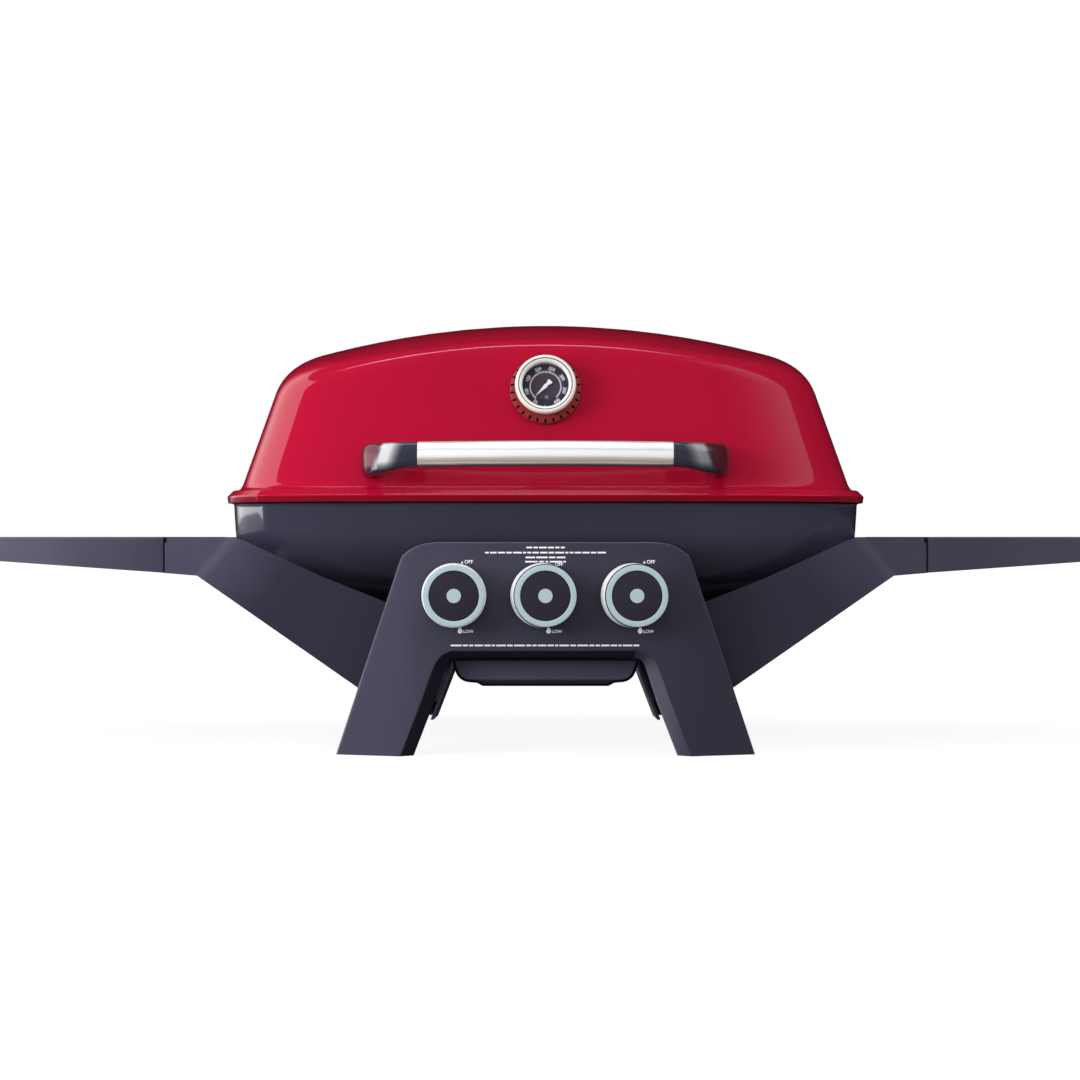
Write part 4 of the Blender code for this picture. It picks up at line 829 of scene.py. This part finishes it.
for side, tag in ((-1, "left"), (1, "right")):
    x_foot = 0.1730
    a, b = wall_half(0.2830)
    wall_y = -b * (1 - (x_foot / a) ** POWER) ** (1 / POWER)
    route = smooth_run([
        (0.1242, -0.2350, 0.2912, 0.0100, 0.0124), (0.1330, -0.2344, 0.2909, 0.0100, 0.0125),
        (0.1450, -0.2316, 0.2896, 0.0098, 0.0135), (0.1565, -0.2264, 0.2882, 0.0092, 0.0147),
        (0.1660, -0.2192, 0.2872, 0.0084, 0.0156), (0.1718, -0.2100, 0.2866, 0.0080, 0.0160),
        (0.1738, -0.1985, 0.2862, 0.0080, 0.0160), (x_foot, wall_y - 0.0016, 0.2860, 0.0084, 0.0160),
    ], 5)
    rings = []
    for k, (x, y, z, w, h) in enumerate(route):
        p, q = route[max(k - 1, 0)], route[min(k + 1, len(route) - 1)]
        tangent = Vector((q[0] - p[0], q[1] - p[1], 0.0)).normalized() if k else Vector((1, 0, 0))
        ring = section(Vector((x, y, z)), Vector((-tangent.y, tangent.x, 0.0)), Vector((0, 0, 1)), w, h, 2.8)
        if k == len(route) - 1:
            ring = [Vector((v.x, -wall_half(v.z)[1] * (1 - (abs(v.x) / wall_half(v.z)[0]) ** POWER) ** (1 / POWER) - 0.0006, v.z)) for v in ring]
        rings.append([Vector((side * v.x, v.y, v.z)) for v in ring])
    stand_for(skin(f"handle_arm_{tag}", rings, bracket_painted_highlight[side], angle=40.0), f"handle_bracket_{tag}")

# ---------------------------------------------------------------- temperature gauge
GAUGE_SPACE = Matrix.Translation(GAUGE_AT) @ Matrix.Rotation(math.pi / 2 - TILT, 4, "X")


def on_gauge(obj, *nodes, body="lid", slot=None, lift=0.0):
    obj.matrix_world = GAUGE_SPACE @ Matrix.Translation((0, 0, lift))
    return stand_for(obj, *nodes, body=body, slot=slot)


collar = spin("gauge_collar_ring", [
    (0.0060, 0.0010), (0.0357, 0.0010), (0.0357, 0.0034), (0.0352, 0.0042), (0.0336, 0.0054), (0.0316, 0.0060), (0.0290, 0.0063), (0.0060, 0.0063),
], collar_red, 120)
slot_bm = bmesh.new()
for k in range(26):
    turn = 2 * math.pi * k / 26 - math.pi / 2
    matrix = Matrix.Rotation(turn, 4, "Z") @ Matrix.Translation((0.0332, 0, 0.0052)) @ Matrix.Diagonal((0.0036, 0.0022, 0.0050, 1.0))
    bmesh.ops.create_cube(slot_bm, size=1.0, matrix=matrix)
slots = add("collar_slots", to_mesh(slot_bm, "collar_slots"), None, tool=True)
boolean(collar, slots)
applied(collar, 35.0)
on_gauge(collar, "gauge_collar")
# painted shadow: a near-black ring laid under the collar slots
slot_floor = spin("gauge_collar_slot_floor", [(0.0312, 0.00275), (0.0345, 0.00275), (0.0345, 0.0034), (0.0312, 0.0034)], painted_shadow_dark, 96)
on_gauge(slot_floor, slot="collar_red_brown")

case_profile = [
    (0.0, 0.0066), (0.0270, 0.0066), (0.0278, 0.0080), (0.0280, 0.0140), (0.0287, 0.0156), (0.0297, 0.0166), (0.0302, 0.0180), (0.0303, 0.0200),
    (0.0300, 0.0217), (0.0293, 0.0229), (0.0284, 0.0235), (0.0276, 0.0236), (0.0269, 0.0234), (0.0267, 0.0224),
    (0.0262, 0.0222), (0.0260, 0.0230), (0.0254, 0.0231), (0.0247, 0.0228), (0.0238, 0.0222), (0.0231, 0.0214), (0.0229, 0.0192),
    (0.0240, 0.0189), (0.0240, 0.0112), (0.0, 0.0112),
]


def case_pick(k):
    if 12 <= k <= 14:
        return 1
    return 2 if 15 <= k <= 19 else 0


on_gauge(spin("gauge_bezel", case_profile, [bezel_metal, bezel_groove_painted_shade, bezel_inner], 128, case_pick, angle=50.0), "gauge_case")
dial = spin("gauge_dial_plate", [(0.0016, 0.0115), (0.0236, 0.0115), (0.0236, 0.0125), (0.0139, 0.0125), (0.0016, 0.0125)], [dial_paint, dial_middle], 128, lambda k: 1 if k == 3 else 0)
on_gauge(dial, "gauge_dial")
on_gauge(spin("gauge_glass_disc", [(0.0, 0.0170), (0.0228, 0.0170), (0.0228, 0.0184), (0.0, 0.0184)], glass, 96), "gauge_glass")

# printed scale: an open ring, ticks, numerals
INK = 0.00012


def flat_strip(name, outlines, mat, height=0.01262):
    """Thin raised print: each outline is a closed run of (x, y)."""
    bm = bmesh.new()
    for points in outlines:
        low = [bm.verts.new((x, y, height - INK)) for x, y in points]
        top = [bm.verts.new((x, y, height)) for x, y in points]
        n = len(points)
        bm.faces.new(top)
        bm.faces.new(low[::-1])
        for k in range(n):
            bm.faces.new((low[k], low[(k + 1) % n], top[(k + 1) % n], top[k]))
    return add(name, to_mesh(bm, name), mat, 20.0)


def arc_outline(r0, r1, a0, a1, steps=60):
    angles = [math.radians(a0 + (a1 - a0) * k / steps) for k in range(steps + 1)]
    return [(r1 * math.cos(a), r1 * math.sin(a)) for a in angles] + [(r0 * math.cos(a), r0 * math.sin(a)) for a in reversed(angles)]


def tick(angle, r0, r1, width):
    a = math.radians(angle)
    c, s = math.cos(a), math.sin(a)
    return [(r0 * c - width * s, r0 * s + width * c), (r0 * c + width * s, r0 * s - width * c), (r1 * c + width * s, r1 * s - width * c), (r1 * c - width * s, r1 * s + width * c)]


scale = [arc_outline(0.0146, 0.0157, 232.0, -46.0)]
on_gauge(flat_strip("gauge_scale_arc", scale, print_grey, height=0.01260), slot="needle_white")
marks = [tick(232.0 - 278.0 * k / 35, 0.0157, 0.0166 if k % 5 else 0.0171, 0.00014 if k % 5 else 0.00022) for k in range(36)]
marks += [tick(-90.0, 0.0196, 0.0207, 0.0005)]
on_gauge(flat_strip("gauge_scale_marks", marks, print_white, height=0.01268), slot="needle_white")


def words(name, items, mat, matrix, depth=INK, body="lid"):
    """Generic lettering as one welded mesh. Each item is (text, size, x, y, turn in degrees)."""
    bm = bmesh.new()
    for text, size, x, y, turn in items:
        data = bpy.data.curves.new(name, "FONT")
        data.body = text
        data.size = size
        data.align_x = "CENTER"
        data.align_y = "CENTER"
        data.extrude = depth / 2
        data.resolution_u = 4
        data.offset = size * 0.022
        obj = bpy.data.objects.new(name, data)
        LOOKS.objects.link(obj)
        obj.matrix_world = Matrix.Translation((x, y, 0)) @ Matrix.Rotation(math.radians(turn), 4, "Z")
        bpy.context.view_layer.update()
        mesh = bpy.data.meshes.new_from_object(obj.evaluated_get(bpy.context.evaluated_depsgraph_get()))
        mesh.transform(obj.matrix_world)
        bm.from_mesh(mesh)
        bpy.data.meshes.remove(mesh)
        bpy.data.objects.remove(obj)
        bpy.data.curves.remove(data)
    bmesh.ops.remove_doubles(bm, verts=bm.verts, dist=0.000001)
    bmesh.ops.recalc_face_normals(bm, faces=bm.faces)
    mesh = bpy.data.meshes.new(name)
    bm.to_mesh(mesh)
    bm.free()
    obj = add(name, mesh, mat, 20.0)
    obj.matrix_world = matrix
    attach(obj, body)
    return obj


numerals = []
for k in range(8):
    a = 238.0 - 41.7 * k
    r = 0.0190
    numerals.append((str(50 + 50 * k), 0.0045, r * math.cos(math.radians(a)), r * math.sin(math.radians(a)), a - 90.0 if -30 < a < 210 else a + 90.0))
numerals.append(("°C", 0.0030, 0.0008, -0.0112, 0.0))
words("gauge_numerals", numerals, print_white, GAUGE_SPACE @ Matrix.Translation((0, 0, 0.01262)))

needle_at = GAUGE_SPACE @ Matrix.Translation((0, 0, 0.0144)) @ Matrix.Rotation(math.radians(226.0), 4, "Z")
bm = bmesh.new()
needle_run = [(0.0142, 0.0), (0.0024, 0.0015), (0.0, 0.0020), (-0.0028, 0.0013), (-0.0060, 0.0026), (-0.0076, 0.0024), (-0.0076, -0.0024), (-0.0060, -0.0026), (-0.0028, -0.0013), (0.0, -0.0020), (0.0024, -0.0015)]
low = [bm.verts.new((x, y, -0.0004)) for x, y in needle_run]
top = [bm.verts.new((x, y, 0.0003)) for x, y in needle_run]
bm.faces.new(top)
bm.faces.new(low[::-1])
for k in range(len(low)):
    bm.faces.new((low[k], low[(k + 1) % len(low)], top[(k + 1) % len(low)], top[k]))
needle = add("gauge_pointer_blade", to_mesh(bm, "gauge_pointer_blade"), needle_white)
boolean(needle, rod_tool("needle_hub", 0.0012, (0, 0, -0.0020), (0, 0, 0.0006), 24), "UNION")
applied(needle)
soften(needle, 0.0001, 1)
needle.matrix_world = needle_at
stand_for(needle, "gauge_needle")
stem = spin("gauge_probe", [(0.0, 0.0062), (0.0036, 0.0062), (0.0036, -0.0120), (0.0026, -0.0130), (0.0026, -0.0560), (0.0020, -0.0574), (0.0, -0.0580)], pin_steel, 40)
on_gauge(stem, "gauge_stem")
detailed("gauge_nut", 0.0004, 2)

# ---------------------------------------------------------------- knobs
TAGS = ("left", "centre", "right")
for tag, x in zip(TAGS, KNOB_X):
    place = Matrix.Translation((x, KNOB_FACE_Y, KNOB_Z)) @ Matrix.Rotation(math.pi / 2, 4, "X")
    control, nodes = f"{tag}_control", (f"knob_ring_{tag}",)
    ring = spin(f"knob_{tag}_ring_face", [
        (0.0240, -0.0060), (0.0240, -0.0004), (0.0244, 0.0), (0.0286, 0.0002), (0.0292, 0.0), (0.02955, -0.0006), (0.02955, -0.0016), (0.0288, -0.0024), (0.0250, -0.0062),
    ], [ring_spun], 128, angle=35.0)
    ring.matrix_world = place
    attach(ring, control)
    skirt = spin(f"knob_{tag}_skirt", [
        (0.0250, -0.0068), (0.0286, -0.0030), (0.0289, -0.0026), (0.0298, -0.0026), (0.0302, -0.0029), (0.0303, -0.0045), (0.0309, -0.0190), (0.0311, -0.0203),
        (0.0309, -0.0212), (0.0296, -0.0212), (0.0292, -0.0200), (0.0288, -0.0150), (0.0262, -0.0086),
    ], [skirt_painted_reflection, painted_shadow_dark], 128, angle=35.0)
    # on the centre and right knobs the skirt's front rim takes the near-black painted shadow, a dark line between ring
    # and skirt
    for poly in skirt.data.polygons:
        if tag != "left" and poly.center.z > -0.0040 and poly.center.xy.length > 0.0286:
            poly.material_index = 1
    for vertex in skirt.data.vertices:
        vertex.co.x += {"left": -0.0008, "centre": -0.0028, "right": -0.0032}[tag] * max(0.0, -vertex.co.z - 0.0030) / 0.0180
    skirt.matrix_world = place
    stand_for(skirt, f"knob_ring_{tag}")
    disc = spin(f"knob_{tag}_face", [
        (0.0, -0.0006), (0.0228, -0.0006), (0.0233, -0.0008), (0.0236, -0.0013), (0.0236, -0.0060), (0.0232, -0.0063),
        (0.0084, -0.0070), (0.0080, -0.0076), (0.0076, -0.0196), (0.0072, -0.0200), (0.0034, -0.0200), (0.0034, -0.0045), (0.0, -0.0045),
    ], [disc_dark], 128, angle=35.0)
    disc.matrix_world = place
    stand_for(disc, f"knob_{tag}")
    dot = spin(f"knob_{tag}_centre_dot", [(0.0, -0.0007), (0.0068, -0.0007), (0.0068, -0.0002), (0.0066, 0.0), (0.0, 0.0001)], [ring_spun], 72)
    dot.matrix_world = place
    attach(dot, control)
    stem = spin(f"valve_{tag}_spindle", [(0.0, -0.0050), (0.0026, -0.0050), (0.0030, -0.0054), (0.0030, -0.0414), (0.0026, -0.0420), (0.0, -0.0420)], pin_steel, 36)
    stem.matrix_world = place
    stand_for(stem, f"valve_stem_{tag}")
    detailed(f"valve_{tag}", 0.0008, 2)

# ---------------------------------------------------------------- panel print
panel = Matrix.Translation((0.0, -0.25002, 0.0)) @ Matrix.Rotation(math.pi / 2, 4, "X")
marks_text, drops = [], []
for x, off_x in zip((-0.0821, 0.0029, 0.0909), (-0.0787, 0.0080, 0.0962)):
    marks_text.append(("OFF", 0.0046, off_x + 0.0049, 0.1874 if abs(off_x) > 0.02 else 0.1849, 0.0))
    marks_text.append(("LOW", 0.0042, x + 0.0080, 0.1206, 0.0))
words("panel_words", marks_text, print_white, panel, body="chassis")


def panel_print(name, outlines):
    obj = flat_strip(name, outlines, print_white, height=INK)
    obj.matrix_world = panel
    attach(obj, "chassis")
    return obj


for x, off_x in zip((-0.0821, 0.0029, 0.0909), (-0.0787, 0.0080, 0.0962)):
    drop = [(x + 0.0023 * math.sin(a), 0.1210 - 0.0023 * math.cos(a)) for a in np.linspace(-math.pi * 0.66, math.pi * 0.66, 22)]
    drops.append(drop + [(x, 0.1268)])
    if abs(off_x) > 0.02:
        drops.append([(off_x - 0.0026, 0.1860), (off_x - 0.0002, 0.1860), (off_x - 0.0014, 0.1887)])
panel_print("panel_icons", drops)


def dash_row(z, x0, x1, widths, height=0.0015, gap=0.0012):
    """A plain row of short bars where the real panel carries small print."""
    out, x, k = [], x0, 0
    while x < x1 - 0.001:
        w = min(widths[k % len(widths)], x1 - x)
        out.append([(x, z - height / 2), (x + w, z - height / 2), (x + w, z + height / 2), (x, z + height / 2)])
        x += w + gap
        k += 1
    return out


small_print = dash_row(0.2013, -0.0185, 0.0185, (0.0058, 0.0042, 0.0072))
small_print += dash_row(0.1964, -0.0580, 0.0580, (0.0036, 0.0062, 0.0070, 0.0052, 0.0084, 0.0030))
small_print += dash_row(0.1918, -0.0190, 0.0190, (0.0090, 0.0110, 0.0060))
small_print += dash_row(0.1877, -0.0195, 0.0195, (0.0120, 0.0050, 0.0028))
small_print += dash_row(0.1073, -0.0910, 0.0910, (0.0105, 0.0048, 0.0040, 0.0082, 0.0060, 0.0030, 0.0092, 0.0054))
panel_print("panel_plain_dashes", small_print)

# ---------------------------------------------------------------- drip tray
TRAY_Y, TRAY_HALF = -0.2220, 0.0908
half_face = [(-TRAY_HALF, 0.0928)] + [tuple(p) for p in smooth_run([(-TRAY_HALF + 0.0016, 0.0842), (-TRAY_HALF + 0.0052, 0.0760), (-TRAY_HALF + 0.0120, 0.0708), (-TRAY_HALF + 0.0220, 0.0694)], 5)]
half_face += [(-0.0668, 0.0692), (-0.0612, 0.0662)]
tray_face = half_face + [(-x, z) for x, z in reversed(half_face)]


def inset(points, amount):
    out = []
    n = len(points)
    middle = Vector((0.0, 0.085))
    for k in range(n):
        p, a, b = Vector(points[k]), Vector(points[k - 1]), Vector(points[(k + 1) % n])
        e1, e2 = (p - a).normalized(), (b - p).normalized()
        normal = Vector((-(e1.y + e2.y), e1.x + e2.x))
        normal = normal.normalized() if normal.length > 1e-6 else Vector((0, 0))
        if normal.dot(middle - p) < 0:
            normal = -normal
        out.append(p + normal * amount)
    return out


tray_rings = []
for amount, y in ((0.0030, TRAY_Y), (0.0024, TRAY_Y + 0.0001), (0.0004, TRAY_Y + 0.0020), (0.0, TRAY_Y + 0.0028), (0.0, TRAY_Y + 0.0060)):
    ring = [Vector((p.x if hasattr(p, "x") else p[0], y, p.y if hasattr(p, "y") else p[1])) for p in inset(tray_face, amount)]
    tray_rings.append([Vector((v.x, v.y, min(v.z, 0.0928))) for v in ring])
tray = skin("drip_tray_body", tray_rings, [tray_painted_shade, painted_shadow_dark], angle=35.0)
# the tray front's edge faces, other than upward-facing ones, take the near-black painted shadow of the gap round the
# tray
for poly in tray.data.polygons:
    if poly.center.y > TRAY_Y + 0.00005 and poly.center.y < TRAY_Y + 0.0058 and poly.normal.z < 0.5:
        poly.material_index = 1
boolean(tray, box_tool("tray_pan", (-0.0800, TRAY_Y + 0.0040, 0.0720), (0.0800, 0.0900, 0.0900)), "UNION")
boolean(tray, box_tool("tray_flange", (-0.0870, TRAY_Y + 0.0040, 0.0882), (0.0870, 0.0900, 0.0900)), "UNION")
boolean(tray, box_tool("tray_pocket", (-0.0780, TRAY_Y + 0.0080, 0.0740), (0.0780, 0.0880, 0.1000)))
applied(tray, 35.0)
stand_for(tray, "drip_tray")

# ---------------------------------------------------------------- inside
for side, tag in ((-1, "left"), (1, "right")):
    detailed(f"cooking_grate_{tag}", 0.0012, 2)
    detailed(f"tray_rail_{tag}", 0.0002, 1)
for tag in TAGS:
    detailed(f"heat_tent_{tag}", 0.0004, 1)
detailed("gas_inlet", 0.0003, 2)


def burner_tube(tag, side, x):
    pts = [(x, -0.2110, KNOB_Z), (x, -0.1500, KNOB_Z + 0.0014)]
    if side:
        pts += [(side * 0.0990, -0.1330, KNOB_Z + 0.003), (side * 0.1250, -0.1200, KNOB_Z + 0.006), (side * 0.1700, -0.1080, KNOB_Z + 0.008),
                (side * 0.1900, -0.0960, KNOB_Z + 0.008), (side * 0.1960, -0.0780, KNOB_Z + 0.008), (side * 0.1960, 0.1250, KNOB_Z + 0.008)]
    else:
        pts += [(x, -0.1200, KNOB_Z + 0.003), (0.0, 0.1400, KNOB_Z + 0.008)]
    route = [pts[0]] + [tuple(p) for p in smooth_run(pts, 5)][1:]
    rings = []
    for k, p in enumerate(route):
        a, b = Vector(route[max(k - 1, 0)]), Vector(route[min(k + 1, len(route) - 1)])
        tangent = (b - a).normalized()
        across = tangent.cross(Vector((0, 0, 1))).normalized()
        up = across.cross(tangent)
        radius = 0.0083 if 0 < k < len(route) - 1 else 0.0076
        rings.append([Vector(p) + across * radius * math.cos(2 * math.pi * j / 28) + up * radius * math.sin(2 * math.pi * j / 28) for j in range(28)])
    obj = skin(f"burner_{tag}_tube", rings, burner_steel, angle=40.0)
    boolean(obj, rod_tool(f"burner_{tag}_inlet", 0.0058, (x, -0.221, KNOB_Z), (x, -0.181, KNOB_Z), 28))
    ports = bmesh.new()
    x_run = side * 0.1960 if side else 0.0
    for s in (-1, 1):
        for k in range(18):
            y = -0.066 + k * 0.0105
            matrix = Matrix.Translation((x_run + s * 0.0068, y, KNOB_Z + (0.0118 if side else 0.0100))) @ Matrix.Rotation(s * math.radians(55), 4, "Y")
            bmesh.ops.create_cone(ports, cap_ends=True, segments=10, radius1=0.0009, radius2=0.0009, depth=0.0030, matrix=matrix)
    boolean(obj, add(f"burner_{tag}_ports", to_mesh(ports, f"burner_{tag}_ports"), None, tool=True))
    applied(obj, 40.0)
    return stand_for(obj, f"burner_{tag}")


burner_tube("left", -1, KNOB_X[0])
burner_tube("centre", 0, KNOB_X[1])
burner_tube("right", 1, KNOB_X[2])

for tool in list(TOOLS.objects):
    bpy.data.objects.remove(tool, do_unlink=True)
bpy.data.collections.remove(TOOLS)

# ---------------------------------------------------------------- camera, floor and light
scene = bpy.context.scene
scene.view_settings.view_transform = "Standard"
scene.view_settings.look = "None"
camera_data = bpy.data.cameras.new("camera")
camera = bpy.data.objects.new("camera", camera_data)
scene.collection.objects.link(camera)
camera.location = (0.0, -2.3, 0.2085)
camera.rotation_euler = (math.pi / 2, 0.0, 0.0)
camera_data.lens = 71.2
camera_data.sensor_width = 36.0
camera_data.shift_x = -0.0051
camera_data.clip_end = 100.0
scene.camera = camera

floor_finish = Finish("studio_floor", (0.16, 0.16, 0.16), 0.9, specular=0.0).vary(3.0, 0.01)
floor_finish.put("Emission Color", (1.0, 1.0, 1.0, 1.0))
floor_finish.put("Emission Strength", 0.90)
bm = bmesh.new()
bmesh.ops.create_grid(bm, x_segments=2, y_segments=2, size=30.0)
floor = add("studio_floor", to_mesh(bm, "studio_floor"), floor_finish.mat)
floor.visible_diffuse = False
floor.visible_glossy = False

def area_light(name, location, target, size, radiance):
    """A square lamp that lights surfaces but isn't mirrored by them; the world carries the reflections."""
    data = bpy.data.lights.new(name, "AREA")
    data.shape = "SQUARE"
    data.size = size
    data.energy = radiance * math.pi * size * size
    lamp = bpy.data.objects.new(name, data)
    scene.collection.objects.link(lamp)
    lamp.location = location
    lamp.rotation_euler = (Vector(target) - Vector(location)).to_track_quat("-Z", "Y").to_euler()
    lamp.visible_glossy = False
    lamp.visible_camera = False
    return lamp


area_light("left_fill", (-1.30, -1.05, 0.55), (-0.2, -0.2, 0.2), 0.8, 8.6)
area_light("right_fill", (1.50, -0.75, 0.50), (0.4, -0.2, 0.2), 0.6, 4.0)

world = bpy.data.worlds.new("studio")
scene.world = world
world.use_nodes = True
tree = world.node_tree
tree.nodes.clear()


def w(kind, **values):
    node = tree.nodes.new(kind)
    for key, value in values.items():
        setattr(node, key, value)
    return node


def wm(operation, a, b=None, c=None, clamp=False):
    node = w("ShaderNodeMath", operation=operation, use_clamp=clamp)
    for k, v in enumerate((a, b, c)):
        if v is None:
            continue
        if isinstance(v, (int, float)):
            node.inputs[k].default_value = v
        else:
            tree.links.new(v, node.inputs[k])
    return node.outputs[0]


def step(value, start, end):
    """0 below start, 1 above end, smooth between; start may be above end."""
    node = w("ShaderNodeMapRange", interpolation_type="SMOOTHSTEP")
    low, high = min(start, end), max(start, end)
    node.inputs["From Min"].default_value = low
    node.inputs["From Max"].default_value = high
    node.inputs["To Min"].default_value = 0.0 if start < end else 1.0
    node.inputs["To Max"].default_value = 1.0 if start < end else 0.0
    tree.links.new(value, node.inputs["Value"])
    return node.outputs["Result"]


ray = w("ShaderNodeTexCoord")
split = w("ShaderNodeSeparateXYZ")
tree.links.new(ray.outputs["Generated"], split.inputs[0])
dx, dy, dz = split.outputs
azimuth = wm("MULTIPLY", wm("ARCTAN2", dx, wm("MULTIPLY", dy, -1.0)), 180 / math.pi)   # 0 towards the user, + to the right
height = wm("MULTIPLY", wm("ARCSINE", dz), 180 / math.pi)


def both(*masks):
    out = masks[0]
    for m in masks[1:]:
        out = wm("MULTIPLY", out, m)
    return out


def panel_light(strength, az0, az1, az2, az3, h0, h1, h2, h3):
    mask = both(step(azimuth, az0, az1), step(azimuth, az3, az2), step(height, h0, h1), step(height, h3, h2))
    return wm("MULTIPLY", mask, strength)


glossy = wm("MULTIPLY", wm("ADD", wm("MULTIPLY", step(height, -30.0, 60.0), 0.04), 0.035), wm("ADD", wm("MULTIPLY", step(dy, 0.25, -0.25), 0.93), 0.07))
left_fade = w("ShaderNodeMapRange")
left_fade.inputs["From Min"].default_value = -120.0
left_fade.inputs["From Max"].default_value = -57.0
left_fade.inputs["To Min"].default_value = 0.70
left_fade.inputs["To Max"].default_value = 1.0
tree.links.new(azimuth, left_fade.inputs["Value"])
front = wm("MULTIPLY", dy, -1.0)
overhead = both(step(front, -0.035, -0.010), step(front, 0.10, 0.05), step(dz, 0.5, 0.7), step(dx, -0.55, -0.22), step(dx, 0.30, 0.02))
for light in (
    wm("MULTIPLY", panel_light(2.1, -152.0, -130.0, -78.0, -76.5, -35.0, -30.0, 46.0, 47.0), left_fade.outputs["Result"]),   # big left softbox
    panel_light(0.80, 18.0, 72.0, 76.0, 77.0, 12.0, 19.0, 66.0, 70.0),        # dim right softbox, soft on its inner side
    panel_light(0.9, -152.0, -130.0, -78.0, -76.5, -40.0, -34.0, 6.0, 12.0),    # the softbox's bright lower end
    wm("MULTIPLY", overhead, 5.5),                                              # long strip overhead
):
    glossy = wm("ADD", glossy, light)
diffuse = wm("ADD", wm("ADD", wm("MULTIPLY", dz, 0.62), wm("MULTIPLY", dx, -0.16)), 0.62)
diffuse = wm("MAXIMUM", diffuse, 0.015)
path = w("ShaderNodeLightPath")
mix1 = w("ShaderNodeMix", data_type="FLOAT")
tree.links.new(path.outputs["Is Glossy Ray"], mix1.inputs[0])
tree.links.new(diffuse, mix1.inputs[2])
tree.links.new(glossy, mix1.inputs[3])
mix2 = w("ShaderNodeMix", data_type="FLOAT")
tree.links.new(path.outputs["Is Camera Ray"], mix2.inputs[0])
tree.links.new(mix1.outputs[0], mix2.inputs[2])
mix2.inputs[3].default_value = 1.0
background = w("ShaderNodeBackground")
background.inputs["Color"].default_value = (1.0, 1.0, 1.0, 1.0)
tree.links.new(mix2.outputs[0], background.inputs["Strength"])
output = w("ShaderNodeOutputWorld")
tree.links.new(background.outputs[0], output.inputs["Surface"])
